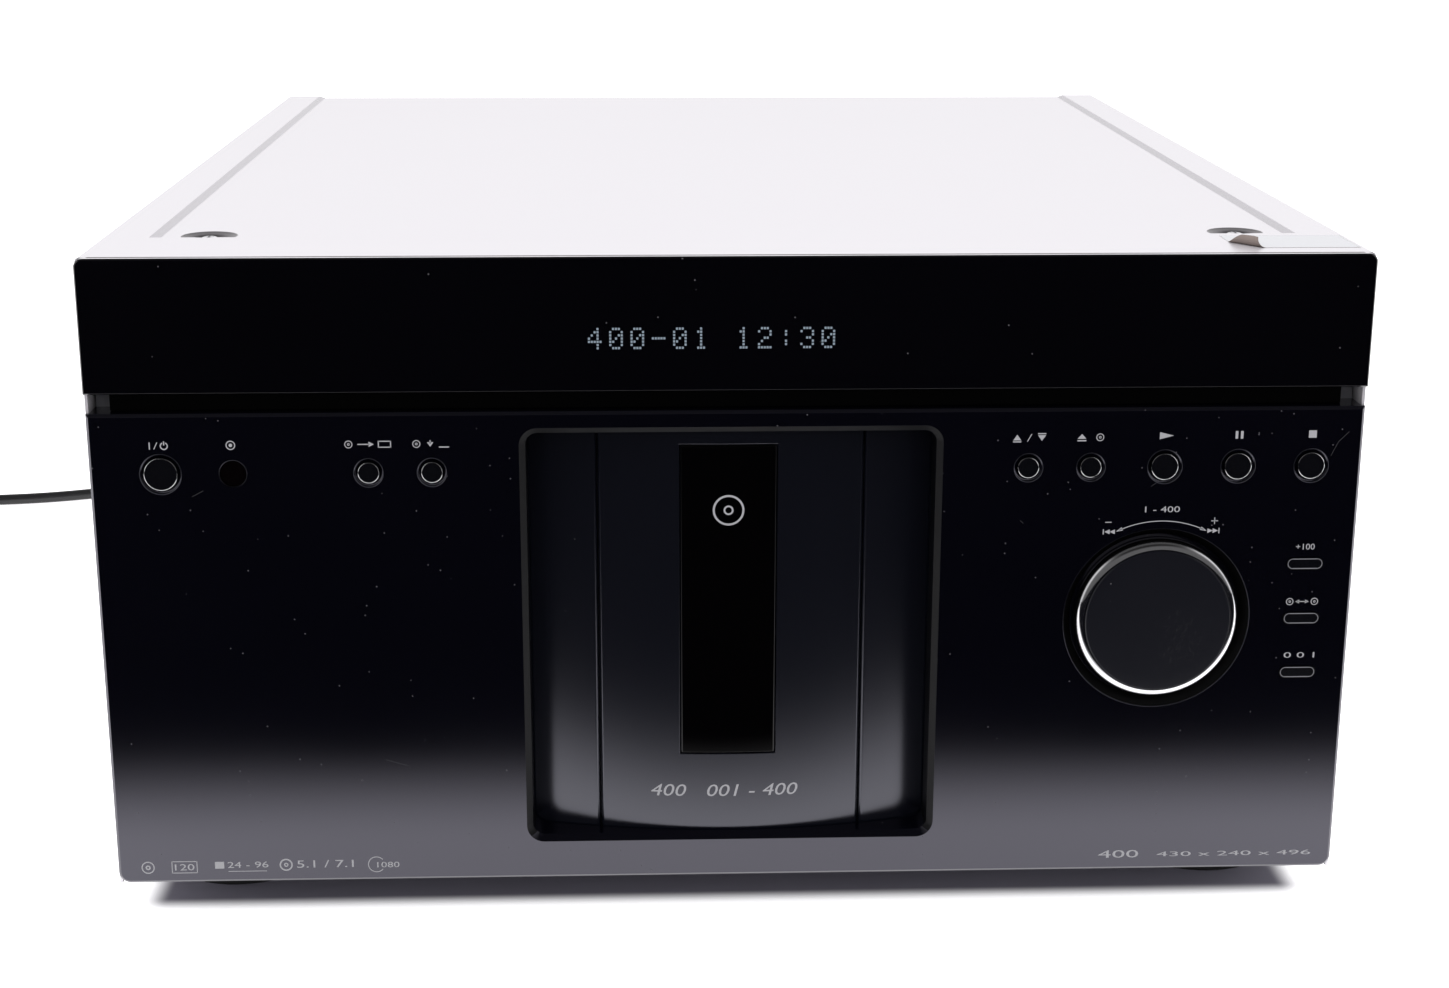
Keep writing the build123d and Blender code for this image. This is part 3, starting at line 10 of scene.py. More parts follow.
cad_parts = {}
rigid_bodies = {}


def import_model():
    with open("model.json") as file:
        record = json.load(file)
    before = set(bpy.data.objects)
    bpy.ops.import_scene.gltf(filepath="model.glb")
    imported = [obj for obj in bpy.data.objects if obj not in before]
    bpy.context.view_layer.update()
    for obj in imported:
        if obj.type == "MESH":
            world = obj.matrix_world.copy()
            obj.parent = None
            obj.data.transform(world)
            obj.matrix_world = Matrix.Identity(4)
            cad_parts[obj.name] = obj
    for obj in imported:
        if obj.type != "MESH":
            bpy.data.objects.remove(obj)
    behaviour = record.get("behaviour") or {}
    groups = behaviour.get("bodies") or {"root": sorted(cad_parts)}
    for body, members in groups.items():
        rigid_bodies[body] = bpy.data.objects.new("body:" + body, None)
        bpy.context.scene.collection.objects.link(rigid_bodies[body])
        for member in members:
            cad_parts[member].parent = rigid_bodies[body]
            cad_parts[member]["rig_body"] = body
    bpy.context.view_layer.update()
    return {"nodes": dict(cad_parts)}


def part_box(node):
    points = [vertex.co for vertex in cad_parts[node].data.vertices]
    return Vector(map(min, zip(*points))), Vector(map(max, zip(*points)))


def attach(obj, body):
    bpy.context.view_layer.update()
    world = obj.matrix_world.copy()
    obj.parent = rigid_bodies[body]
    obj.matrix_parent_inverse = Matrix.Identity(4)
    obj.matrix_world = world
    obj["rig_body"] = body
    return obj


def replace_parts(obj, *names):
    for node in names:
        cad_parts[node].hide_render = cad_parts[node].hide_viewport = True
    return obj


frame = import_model()

# Sizes in metres; places on the front are given in millimetres across, behind the front face and up
MM = 0.001
HALF_PI = math.pi / 2
front_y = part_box("lower_fascia")[0].y
casing_low, casing_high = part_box("top_cover")
casing_top = casing_high.z
door_radius = 232.0 * MM
carousel_y = front_y + 236.0 * MM
outer_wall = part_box("rear_panel")[1].y
half_width = casing_high.x
dial_x, dial_z = 147.1, 112.8
sensor_x = -167.0
button_row = 167.2
cover_screw_x, cover_screw_depth = 179.5, 51.0


def at(x, depth, z):
    """A point from millimetres across, behind the front face and up."""
    return Vector((x * MM, front_y + depth * MM, z * MM))


def placed(name, data):
    """Links data as an object at the origin."""
    obj = bpy.data.objects.new(name, data)
    bpy.context.scene.collection.objects.link(obj)
    return obj


def settled_mesh(obj):
    """The mesh that an object's curve or modifiers give."""
    return bpy.data.meshes.new_from_object(obj.evaluated_get(bpy.context.evaluated_depsgraph_get()))


# Camera, fitted to the photograph
camera_place = (-32.42, -753.41, 371.93)
camera_pitch, camera_yaw, camera_roll = -0.27542, -0.03975, 0.00265
focal_px, photo_width = 2317.43, 1449


def make_camera():
    """The camera at the photograph's place."""
    data = bpy.data.cameras.new("camera")
    data.sensor_width = 36.0
    data.lens = 36.0 * focal_px / photo_width
    data.clip_start, data.clip_end = 0.02, 60.0
    camera = placed("camera", data)
    turn = (Matrix.Rotation(camera_yaw, 4, "Z") @ Matrix.Rotation(HALF_PI + camera_pitch, 4, "X")
            @ Matrix.Rotation(camera_roll, 4, "Z"))
    camera.matrix_world = Matrix.Translation(at(*camera_place)) @ turn
    bpy.context.scene.camera = camera


make_camera()

# Mains lead: the same route as the CAD lead, in millimetres across, behind the front face and up
cord_radius = 3.0 * MM
gland_end = (-165.0, 521.0, 45.0)
cord_route = [
    gland_end, (-165.0, 541.0, 45.0), (-172.0, 568.0, 33.0), (-193.0, 586.0, 14.0), (-224.0, 591.0, 3.6),
    (-262.0, 588.0, 3.0), (-302.0, 578.0, 3.0), (-340.0, 566.5, 3.0), (-371.0, 555.5, 3.0),
    (-404.0, 550.5, 3.0), (-437.0, 550.5, 3.0),
]
coil_start = (-443.0, 550.5, 3.0)
coil_step = 3.3
coil_halves = 11
coil_inner = 24.0
points_per_half = 8
plug_bend = 30.0


def coil_points():
    """Control points of the coil's turns and of the bend to the plug."""
    x, y, z = coil_start
    spread = 1 / math.cos(HALF_PI / points_per_half)
    middle = coil_halves // 2
    radius = coil_inner + middle * coil_step
    side = -1
    found = []
    for half in range(coil_halves):
        climb = 2 * coil_step if half == middle else 0.0
        centre = y + side * radius
        for i in range(points_per_half):
            turn = math.pi * (i + 0.5) / points_per_half
            along, across = math.sin(turn), math.cos(turn)
            found.append((x + side * radius * spread * along, centre - side * radius * spread * across,
                          z + climb * (1 - across) / 2))
        y, z = y + side * 2 * radius, z + climb
        side = -side
        radius += coil_step if half >= middle else -coil_step
    near = plug_bend * math.tan(math.pi / 8)
    found += [(x + near, y, z), (x + plug_bend, y - plug_bend + near, z),
              (x + plug_bend, y - plug_bend - 6.0, z)]
    return found


def make_cord():
    """The lead as one smooth curve from the strain relief to the plug."""
    data = bpy.data.curves.new("mains_lead", "CURVE")
    data.dimensions = "3D"
    data.bevel_depth = 1.0
    data.bevel_resolution = 5
    data.use_fill_caps = True
    data.resolution_u = 6
    spline = data.splines.new("NURBS")
    route = [at(*p) for p in cord_route + coil_points()]
    spline.points.add(len(route) - 1)
    for point, place in zip(spline.points, route):
        point.co = (*place, 1.0)
        point.radius = cord_radius
    spline.order_u = 3
    spline.use_endpoint_u = True
    return placed("mains_lead", data)


cord = make_cord()


# Shader groups

def shader_group(name, inputs, outputs):
    """A new node group; inputs are (name, default) numbers and outputs are names."""
    tree = bpy.data.node_groups.new(name, "ShaderNodeTree")
    for label, value in inputs:
        tree.interface.new_socket(label, in_out="INPUT", socket_type="NodeSocketFloat").default_value = value
    for label in outputs:
        tree.interface.new_socket(label, in_out="OUTPUT", socket_type="NodeSocketFloat")
    return tree, tree.nodes.new("NodeGroupInput"), tree.nodes.new("NodeGroupOutput")


def feed(tree, value, socket):
    """Links an output to an input, or sets the input to a plain value."""
    if isinstance(value, bpy.types.NodeSocket):
        tree.links.new(value, socket)
    else:
        socket.default_value = value


def math_node(tree, operation, a, b=None):
    """A maths node whose inputs are sockets or plain numbers; returns its output."""
    node = tree.nodes.new("ShaderNodeMath")
    node.operation = operation
    for i, value in enumerate((a, b)):
        if value is not None:
            feed(tree, value, node.inputs[i])
    return node.outputs[0]


def noise_node(tree, vector, scale, detail):
    """A noise texture on a vector; the scale is a socket or a number."""
    node = tree.nodes.new("ShaderNodeTexNoise")
    node.inputs["Detail"].default_value = detail
    tree.links.new(vector, node.inputs["Vector"])
    feed(tree, scale, node.inputs["Scale"])
    return node


def make_grain_group():
    """Fine surface grain: a height and a slow change of tone."""
    tree, given, out = shader_group("surface_grain", [("Grain scale", 2500.0), ("Tone scale", 12.0)],
                                    ["Height", "Tone"])
    place = tree.nodes.new("ShaderNodeTexCoord").outputs["Object"]
    fine = noise_node(tree, place, given.outputs["Grain scale"], 2.0)
    slow = noise_node(tree, place, given.outputs["Tone scale"], 4.0)
    tree.links.new(fine.outputs["Fac"], out.inputs["Height"])
    tree.links.new(slow.outputs["Fac"], out.inputs["Tone"])
    return tree


def make_dust_group():
    """Small specks, few and of unequal size."""
    tree, given, out = shader_group("dust_specks", [("Cell scale", 120.0), ("Speck size", 0.075),
                                                    ("Share", 0.2)], ["Mask"])
    place = tree.nodes.new("ShaderNodeTexCoord").outputs["Object"]
    cells = tree.nodes.new("ShaderNodeTexVoronoi")
    tree.links.new(place, cells.inputs["Vector"])
    tree.links.new(given.outputs["Cell scale"], cells.inputs["Scale"])
    parts = tree.nodes.new("ShaderNodeSeparateColor")
    tree.links.new(cells.outputs["Color"], parts.inputs["Color"])
    size = math_node(tree, "MULTIPLY", parts.outputs["Green"], given.outputs["Speck size"])
    near = math_node(tree, "LESS_THAN", cells.outputs["Distance"], size)
    picked = math_node(tree, "LESS_THAN", parts.outputs["Red"], given.outputs["Share"])
    tree.links.new(math_node(tree, "MULTIPLY", near, picked), out.inputs["Mask"])
    return tree


def make_scratch_group():
    """Short hairline scratches that run along the given turn about Y, in radians."""
    tree, given, out = shader_group("hairline_scratches", [("Turn", 0.4), ("Share", 0.6)], ["Mask"])
    place = tree.nodes.new("ShaderNodeTexCoord").outputs["Object"]
    lean = tree.nodes.new("ShaderNodeVectorRotate")
    lean.rotation_type = "Y_AXIS"
    tree.links.new(place, lean.inputs["Vector"])
    tree.links.new(given.outputs["Turn"], lean.inputs["Angle"])
    stretch = tree.nodes.new("ShaderNodeMapping")
    stretch.inputs["Scale"].default_value = (8.0, 8.0, 140.0)
    tree.links.new(lean.outputs["Vector"], stretch.inputs["Vector"])
    streak = noise_node(tree, stretch.outputs["Vector"], 3.0, 1.0)
    off = math_node(tree, "ABSOLUTE", math_node(tree, "SUBTRACT", streak.outputs["Fac"], 0.5))
    thin = math_node(tree, "LESS_THAN", off, 0.0022)
    patch = noise_node(tree, place, 22.0, 2.0)
    picked = math_node(tree, "GREATER_THAN", patch.outputs["Fac"], given.outputs["Share"])
    tree.links.new(math_node(tree, "MULTIPLY", thin, picked), out.inputs["Mask"])
    return tree


grain_group = make_grain_group()
dust_group = make_dust_group()
scratch_group = make_scratch_group()


# Materials

dust_grey = (0.08, 0.08, 0.085)


def new_material(name):
    """A material with its node tree and shader."""
    material = bpy.data.materials.new(name)
    material.use_nodes = True
    return material, material.node_tree, material.node_tree.nodes["Principled BSDF"]


def set_inputs(node, **values):
    """Sets a node's inputs by name; underscores stand for spaces."""
    for label, value in values.items():
        node.inputs[label.replace("_", " ")].default_value = value


def place_group(tree, group, **values):
    """A group node in a material with its own values."""
    node = tree.nodes.new("ShaderNodeGroup")
    node.node_tree = group
    set_inputs(node, **values)
    return node


def mixed_colour(tree, factor, a, b):
    """Mixes two colours; each is a socket or three numbers. Returns the result's socket."""
    node = tree.nodes.new("ShaderNodeMix")
    node.data_type = "RGBA"
    tree.links.new(factor, node.inputs["Factor"])
    for label, value in (("A", a), ("B", b)):
        socket = [s for s in node.inputs if s.name == label and s.type == "RGBA"][0]
        feed(tree, (*value, 1.0) if isinstance(value, tuple) else value, socket)
    return [s for s in node.outputs if s.type == "RGBA"][0]


def ranged(tree, value, start, end, low, high, interpolation="SMOOTHSTEP"):
    """Maps start..end to low..high."""
    node = tree.nodes.new("ShaderNodeMapRange")
    node.interpolation_type = interpolation
    set_inputs(node, From_Min=start, From_Max=end, To_Min=low, To_Max=high)
    tree.links.new(value, node.inputs["Value"])
    return node.outputs["Result"]


def finish(name, colour, roughness, metallic=0.0, coat=0.0, specular=0.5, tone=0.12, grain=2500.0, depth=0.02,
           dust=0.0, dust_scale=160.0, scratches=0.0, turn=0.4, tint=(1.0, 1.0, 1.0), ior=1.5):
    """A finish with grain, slow tone change, dust and hairline scratches."""
    material, tree, shader = new_material(name)
    set_inputs(shader, Metallic=metallic, Coat_Weight=coat, Coat_Roughness=0.03, Specular_IOR_Level=specular,
               Specular_Tint=(*tint, 1.0), IOR=ior)
    surface = place_group(tree, grain_group, Grain_scale=grain)
    darker = tuple(c * (1 - tone) for c in colour)
    lighter = tuple(min(c * (1 + tone), 1.0) for c in colour)
    shade = mixed_colour(tree, surface.outputs["Tone"], darker, lighter)
    spread = min(1.25 * tone, 0.2)
    rough = ranged(tree, surface.outputs["Tone"], 0.0, 1.0, roughness * (1 - spread),
                   min(roughness * (1 + spread), 1.0), "LINEAR")
    if scratches > 0:
        lines = place_group(tree, scratch_group, Turn=turn, Share=1.0 - scratches)
        pale = tuple(min(c * 1.6 + 0.02, 1.0) for c in colour)
        shade = mixed_colour(tree, lines.outputs["Mask"], shade, pale)
    if dust > 0:
        specks = place_group(tree, dust_group, Cell_scale=dust_scale, Share=dust)
        shade = mixed_colour(tree, specks.outputs["Mask"], shade, dust_grey)
        rough = math_node(tree, "MAXIMUM", rough, math_node(tree, "MULTIPLY", specks.outputs["Mask"], 0.8))
    tree.links.new(shade, shader.inputs["Base Color"])
    tree.links.new(rough, shader.inputs["Roughness"])
    if depth > 0:
        bump = tree.nodes.new("ShaderNodeBump")
        set_inputs(bump, Strength=depth, Distance=0.2 * MM)
        tree.links.new(surface.outputs["Height"], bump.inputs["Height"])
        tree.links.new(bump.outputs["Normal"], shader.inputs["Normal"])
    return material


def glowing(name, colour, strength):
    """A lit material for the readout's dots."""
    material, tree, shader = new_material(name)
    set_inputs(shader, Base_Color=(*colour, 1.0), Emission_Color=(*colour, 1.0), Emission_Strength=strength)
    return material


# Painted reflection: this pale colour stands in for the glare of the bright room on the cover's dark paint
cover_paint_and_glare = finish("cover_paint_and_glare", (0.79, 0.77, 0.81), 0.27, metallic=0.4, tone=0.006, grain=1800.0,
                     depth=0.0)
# Painted shade: a darker copy of the cover's paint for its side slopes
cover_slope_shade = finish("cover_slope_shade", (0.56, 0.54, 0.58), 0.24, metallic=1.0, tone=0.02, grain=1800.0,
                     depth=0.0)
dimple_shade = finish("dimple_shade", (0.17, 0.16, 0.17), 0.3, metallic=1.0, tone=0.0, depth=0.0)
# Painted highlight: a pale colour on the gloss panel's top face for the bright line along its edge
fascia_top_highlight = finish("fascia_top_highlight", (0.80, 0.79, 0.82), 0.3, tone=0.03, depth=0.0)
piano_black = finish("piano_black", (0.0010, 0.0009, 0.0016), 0.05, coat=0.6, specular=0.4, tone=0.2,
                     depth=0.0, dust=0.12, dust_scale=240.0, scratches=0.06)
panel_black = finish("panel_black", (0.0007, 0.0007, 0.0024), 0.14, specular=0.8, tint=(0.93, 0.91, 1.06),
                     ior=1.6, tone=0.15, grain=2200.0, depth=0.01, dust=0.30, dust_scale=280.0,
                     scratches=0.10)
door_grey = finish("door_grey", (0.0022, 0.0027, 0.0058), 0.22, specular=0.85, tint=(0.94, 0.94, 1.06),
                   ior=1.6, tone=0.1, grain=2200.0, depth=0.015, dust=0.14, dust_scale=260.0, scratches=0.15,
                   turn=1.0)
strip_black = finish("strip_black", (0.0006, 0.0005, 0.0006), 0.05, coat=0.3, specular=0.25, tone=0.1,
                     depth=0.0, dust=0.12, dust_scale=300.0)
groove_black = finish("groove_black", (0.0008, 0.0008, 0.001), 0.5, specular=0.1)
recess_black = finish("recess_black", (0.0015, 0.0015, 0.0025), 0.4, specular=0.25, depth=0.0)
button_black = finish("button_black", (0.0016, 0.0018, 0.0034), 0.25, grain=3000.0)
cap_black = finish("cap_black", (0.0038, 0.0042, 0.0090), 0.36, grain=3500.0, depth=0.05, dust=0.2,
                   dust_scale=300.0, scratches=0.2, turn=0.9)
bright_chrome = finish("bright_chrome", (0.78, 0.78, 0.80), 0.12, metallic=1.0, tone=0.04, depth=0.01,
                       scratches=0.1)
soft_chrome = finish("soft_chrome", (0.45, 0.45, 0.48), 0.22, metallic=1.0, tone=0.05, depth=0.01)
galvanised = finish("galvanised", (0.50, 0.51, 0.53), 0.38, metallic=1.0, grain=700.0, depth=0.05,
                    scratches=0.2)
motor_steel = finish("motor_steel", (0.48, 0.48, 0.50), 0.3, metallic=1.0, tone=0.06)
brass_yellow = finish("brass_yellow", (0.62, 0.46, 0.20), 0.28, metallic=1.0, tone=0.06)
acetal_white = finish("acetal_white", (0.66, 0.65, 0.60), 0.45, tone=0.04, depth=0.03)
comb_grey = finish("comb_grey", (0.05, 0.05, 0.055), 0.5, tone=0.06, depth=0.04)
table_dark = finish("table_dark", (0.03, 0.03, 0.034), 0.48, tone=0.06, depth=0.04)
inner_black = finish("inner_black", (0.012, 0.012, 0.013), 0.5, tone=0.08, depth=0.03)
board_green = finish("board_green", (0.012, 0.10, 0.045), 0.35, coat=0.4, tone=0.1, grain=900.0, depth=0.03)
board_tan = finish("board_tan", (0.24, 0.16, 0.07), 0.4, coat=0.3, tone=0.1, grain=900.0, depth=0.03)
rear_black = finish("rear_black", (0.02, 0.02, 0.022), 0.45, tone=0.06, grain=1500.0, depth=0.06, dust=0.1,
                    dust_scale=120.0)
soft_rubber = finish("soft_rubber", (0.012, 0.012, 0.012), 0.7, tone=0.1, grain=1600.0, depth=0.08, dust=0.1)
lead_vinyl = finish("lead_vinyl", (0.016, 0.016, 0.017), 0.42, tone=0.08, grain=1400.0, depth=0.05, dust=0.05)
sensor_black = finish("sensor_black", (0.0012, 0.0006, 0.0008), 0.08, coat=0.3, specular=0.3, depth=0.0)
print_grey = finish("print_grey", (0.38, 0.38, 0.40), 0.5, tone=0.05, depth=0.0)
# Painted highlight: grey for the rims printed round the oblong buttons
painted_rim_highlight = finish("painted_rim_highlight", (0.20, 0.20, 0.22), 0.5, tone=0.05, depth=0.0)
label_silver = finish("label_silver", (0.74, 0.75, 0.78), 0.35, metallic=0.3, tone=0.03, grain=500.0,
                      depth=0.04)
readout_glow = glowing("readout_glow", (0.16, 0.20, 0.24), 0.45)


# Mesh helpers

def new_object(name, mesh, *materials):
    """Links a mesh as an object at the origin."""
    obj = placed(name, mesh)
    for material in materials:
        mesh.materials.append(material)
    return obj


def from_bmesh(name, bm, *materials):
    """Turns a bmesh into an object."""
    mesh = bpy.data.meshes.new(name)
    bm.to_mesh(mesh)
    bm.free()
    return new_object(name, mesh, *materials)


def smooth(obj, angle=30.0):
    """Smooth shading with sharp edges over an angle."""
    mesh = obj.data
    mesh.polygons.foreach_set("use_smooth", [True] * len(mesh.polygons))
    mesh.set_sharp_from_angle(angle=math.radians(angle))
    return obj


def soften(obj, width, segments):
    """Small rounded edges."""
    bevel = obj.modifiers.new("edge", "BEVEL")
    bevel.width = width
    bevel.segments = segments
    bevel.limit_method = "ANGLE"
    bevel.angle_limit = math.radians(30.0)
    weighted = obj.modifiers.new("flat faces", "WEIGHTED_NORMAL")
    weighted.keep_sharp = True


def dressed(node, material, width, segments=2):
    """A copy of a CAD node with merged faces, rounded edges and a finish, shown in its place."""
    bm = bmesh.new()
    bm.from_mesh(frame["nodes"][node].data)
    bmesh.ops.remove_doubles(bm, verts=bm.verts, dist=1e-6)
    bmesh.ops.dissolve_limit(bm, angle_limit=math.radians(0.4), verts=bm.verts, edges=bm.edges)
    obj = from_bmesh(node + "_shell", bm, material)
    smooth(obj)
    soften(obj, width, segments)
    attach(obj, frame["nodes"][node]["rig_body"])
    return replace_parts(obj, node)


def lathe(name, profile, centre, direction, material, steps=128):
    """A turned form: (radius, height) pairs in millimetres, from axis to axis or round a ring's section."""
    bm = bmesh.new()
    turn = Vector((0, 0, 1)).rotation_difference(Vector(direction)).to_matrix()
    rings = []
    for radius, height in profile:
        if radius == 0:
            rings.append([bm.verts.new(centre + turn @ Vector((0, 0, height * MM)))])
            continue
        ring = []
        for i in range(steps):
            angle = 2 * math.pi * i / steps
            ring.append(bm.verts.new(centre + turn @ Vector((radius * MM * math.cos(angle),
                                                             radius * MM * math.sin(angle), height * MM))))
        rings.append(ring)
    closed = profile[0][0] > 0
    pairs = list(zip(rings, rings[1:])) + ([(rings[-1], rings[0])] if closed else [])
    for low, high in pairs:
        for i in range(steps):
            j = (i + 1) % steps
            corners = [low[i % len(low)], low[j % len(low)], high[j % len(high)], high[i % len(high)]]
            bm.faces.new(list(dict.fromkeys(corners)))
    bmesh.ops.recalc_face_normals(bm, faces=bm.faces)
    return smooth(from_bmesh(name, bm, material))


# Outer panels and the door
cover = dressed("top_cover", cover_paint_and_glare, 0.35 * MM)
upper = dressed("upper_fascia", piano_black, 0.3 * MM, 3)
lower = dressed("lower_fascia", panel_black, 0.28 * MM)
for node, material, width in (
        ("door_leaf", door_grey, 0.3), ("door_wings", door_grey, 0.3), ("door_strip", strip_black, 0.25),
        ("groove_trim", groove_black, 0.3), ("feet", inner_black, 0.5), ("foot_pads", soft_rubber, 0.3),
        ("rear_panel", rear_black, 0.15), ("cord_gland", lead_vinyl, 0.4),
        ("sensor_window", sensor_black, 0.15)):
    dressed(node, material, width * MM)


def repaint(obj, material, chosen):
    """Gives a second material to the faces that chosen(centre, normal) picks."""
    obj.data.materials.append(material)
    last = len(obj.data.materials) - 1
    for face in obj.data.polygons:
        if chosen(face.center, face.normal):
            face.material_index = last


def sloping(centre, normal):
    """The cover's faces near its top that are neither level nor upright."""
    return centre.z > casing_top - 4.0 * MM and 0.3 < normal.z < 0.995


def in_dimple(centre, normal):
    """The sloped walls of the cover's two screw dimples."""
    off = (Vector((abs(centre.x), centre.y)) - at(cover_screw_x, cover_screw_depth, 0).xy).length
    return sloping(centre, normal) and off < 9.8 * MM


def on_slope(centre, normal):
    """The slopes along the cover's sides."""
    return sloping(centre, normal) and 190 * MM < abs(centre.x) < 200 * MM


def on_dial_wall(centre, normal):
    """The wall of the dish round the dial."""
    off = (centre - dial_place).xz.length
    return 28.6 * MM < off < 32.4 * MM and centre.y > front_y + 0.05 * MM


def on_recess_wall(centre, normal):
    """The bevels and walls of the door's recess."""
    inside = abs(centre.x) < 71.6 * MM and 33.0 * MM < centre.z < 183.0 * MM
    return inside and normal.y > -0.99 and normal.z < 0.5


dial_place = at(dial_x, 0.0, dial_z)
# Painted shade on the cover's side slopes
repaint(cover, cover_slope_shade, on_slope)
repaint(cover, dimple_shade, in_dimple)
# Painted highlight along the gloss panel's top edge
repaint(upper, fascia_top_highlight, lambda centre, normal: normal.z > 0.9 and centre.z > casing_top - 0.2 * MM)
repaint(lower, groove_black, on_dial_wall)
repaint(lower, recess_black, on_recess_wall)

# Inner nodes keep their CAD form
node_finishes = {
    "bottom_chassis": galvanised, "front_frame": galvanised, "upper_deck": galvanised,
    "drive_stand": galvanised, "drive_plate": galvanised, "carousel_table": table_dark,
    "slot_ring": comb_grey, "ring_gear": acetal_white, "carousel_bearings": acetal_white,
    "table_drive_gear": acetal_white, "door_gear": acetal_white, "loading_lever": acetal_white,
    "table_pinion": brass_yellow, "door_motor_pinion": brass_yellow, "table_motor": motor_steel,
    "door_motor": motor_steel, "drive_motors": motor_steel, "guide_rods": bright_chrome,
    "door_carrier": inner_black, "door_rails": inner_black, "pickup_sled": inner_black,
    "turntable": inner_black, "clamp_arm": inner_black, "clamp_puck": inner_black, "fan_frame": inner_black,
    "fan_impeller": inner_black, "display_module": strip_black, "main_board": board_green,
    "control_boards": board_green, "power_board": board_tan,
}
for node, material in node_finishes.items():
    mesh = frame["nodes"][node].data
    mesh.materials.clear()
    mesh.materials.append(material)

# Buttons
for node in frame["nodes"]:
    if node.endswith("_button"):
        dressed(node, button_black, 0.18 * MM)

# Dial
facing = (0, 1, 0)
cap_profile = [(0, -2.62), (20.0, -2.66), (24.2, -2.8), (24.9, -2.75), (25.2, -2.4), (25.25, 1.3),
               (4.6, 1.35), (4.6, 8.0), (3.0, 8.0), (3.0, 20.0), (0, 20.0)]
cap = lathe("dial_face", cap_profile, dial_place, facing, cap_black)
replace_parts(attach(cap, "dial"), "dial_cap")
rim_profile = [(25.35, -2.1), (25.6, -2.35), (26.2, -2.25), (26.8, -1.98), (27.35, -1.55), (27.8, -1.0),
               (28.15, -0.35), (28.4, 0.4), (28.4, 3.4), (21.4, 3.4), (21.4, 1.4), (25.35, 1.35)]
rim = lathe("dial_rim", rim_profile, dial_place, facing, bright_chrome)
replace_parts(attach(rim, "dial"), "dial_ring")

# Mains lead and plug
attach(cord, "casing")
cord.data.materials.append(lead_vinyl)
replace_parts(cord, "power_cord", "power_cord_coil")
plug = dressed("power_plug", lead_vinyl, 0.8 * MM, 3)
blade_length = 16.8 * MM
blade_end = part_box("power_plug")[0].y + blade_length
repaint(plug, brass_yellow, lambda centre, normal: centre.y < blade_end)


# Rear sockets: round ones in the usual colours, nickel sleeves and shells
socket_colours = ["jack_red", "jack_white", "jack_red", "jack_white", "jack_grey", "jack_grey", "jack_green",
                  "jack_blue", "jack_red", "jack_yellow", "jack_orange"]
jack_paints = {
    "jack_red": (0.42, 0.02, 0.02), "jack_white": (0.60, 0.59, 0.56), "jack_grey": (0.10, 0.10, 0.11),
    "jack_green": (0.02, 0.22, 0.06), "jack_blue": (0.02, 0.06, 0.35), "jack_yellow": (0.55, 0.40, 0.02),
    "jack_orange": (0.50, 0.16, 0.01),
}
jack_profile = [(4.35, 0.0), (6.2, 0.0), (6.2, 0.6), (4.35, 0.6)]
jack_pitch, first_jack, jack_height = 14.0 * MM, -112.0 * MM, 203.7 * MM


def paint_sockets():
    """Coloured faces round the jacks' mouths, metal sleeves, dark boxes."""
    sockets = dressed("rear_sockets", inner_black, 0.12 * MM)
    repaint(sockets, soft_chrome, lambda centre, normal: centre.y > outer_wall - 0.2 * MM)
    for name, colour in jack_paints.items():
        paint = finish(name, colour, 0.4, depth=0.0)
        for i, chosen in enumerate(socket_colours):
            if chosen == name:
                place = Vector((first_jack + i * jack_pitch, outer_wall, jack_height))
                ring = lathe(f"jack_ring_{i}", jack_profile, place, facing, paint, 32)
                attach(ring, "casing")


paint_sockets()


# Printed marks: polygons in millimetres across and up
print_lift = 0.03 * MM


def front_plane(x):
    """Just in front of the front panels."""
    return front_y - print_lift


def door_face(x):
    """Just in front of the door's curved skin."""
    return carousel_y - math.sqrt((door_radius + print_lift) ** 2 - x * x)


def strip_face(x):
    """Just in front of the door's window strip."""
    return carousel_y - math.sqrt((door_radius + 0.2 * MM + print_lift) ** 2 - x * x)


def printed(name, shapes, surface, material, body, facing_y=-1):
    """A flat print laid on a surface; it faces the front, or the back where facing_y is 1."""
    bm = bmesh.new()
    for shape in shapes:
        face = bm.faces.new([bm.verts.new((x * MM, surface(x * MM), z * MM)) for x, z in shape])
        face.normal_update()
        if face.normal.y * facing_y < 0:
            face.normal_flip()
    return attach(from_bmesh(name, bm, material), body)


def bar(x0, z0, x1, z1, width):
    """A straight stroke."""
    run, rise = x1 - x0, z1 - z0
    length = math.hypot(run, rise)
    dx, dz = -rise / length * width / 2, run / length * width / 2
    return [[(x0 + dx, z0 + dz), (x0 - dx, z0 - dz), (x1 - dx, z1 - dz), (x1 + dx, z1 + dz)]]


def box_shape(x, z, width, height):
    """A filled rectangle about its middle."""
    return bar(x - width / 2, z, x + width / 2, z, height)


def frame_shape(x, z, width, height, stroke):
    """An outlined rectangle about its middle."""
    w, h = width / 2 - stroke / 2, height / 2
    return (bar(x - w, z - h, x - w, z + h, stroke) + bar(x + w, z - h, x + w, z + h, stroke)
            + bar(x - w, z + h - stroke / 2, x + w, z + h - stroke / 2, stroke)
            + bar(x - w, z - h + stroke / 2, x + w, z - h + stroke / 2, stroke))


def ring_shape(x, z, outer, inner, start=0.0, end=360.0, steps=28):
    """A ring or a part of one; angles in degrees from the right, anticlockwise."""
    found = []
    for i in range(steps):
        a, b = [math.radians(start + (end - start) * (i + k) / steps) for k in (0, 1)]
        found.append([(x + r * math.cos(t), z + r * math.sin(t))
                      for r, t in ((inner, a), (outer, a), (outer, b), (inner, b))])
    return found


def arrow_head(x, z, length, height, heading):
    """A triangle about its middle that points along the heading in degrees."""
    turn = math.radians(heading)
    corners = [(length / 2, 0.0), (-length / 2, height / 2), (-length / 2, -height / 2)]
    return [[(x + a * math.cos(turn) - b * math.sin(turn), z + a * math.sin(turn) + b * math.cos(turn))
             for a, b in corners]]


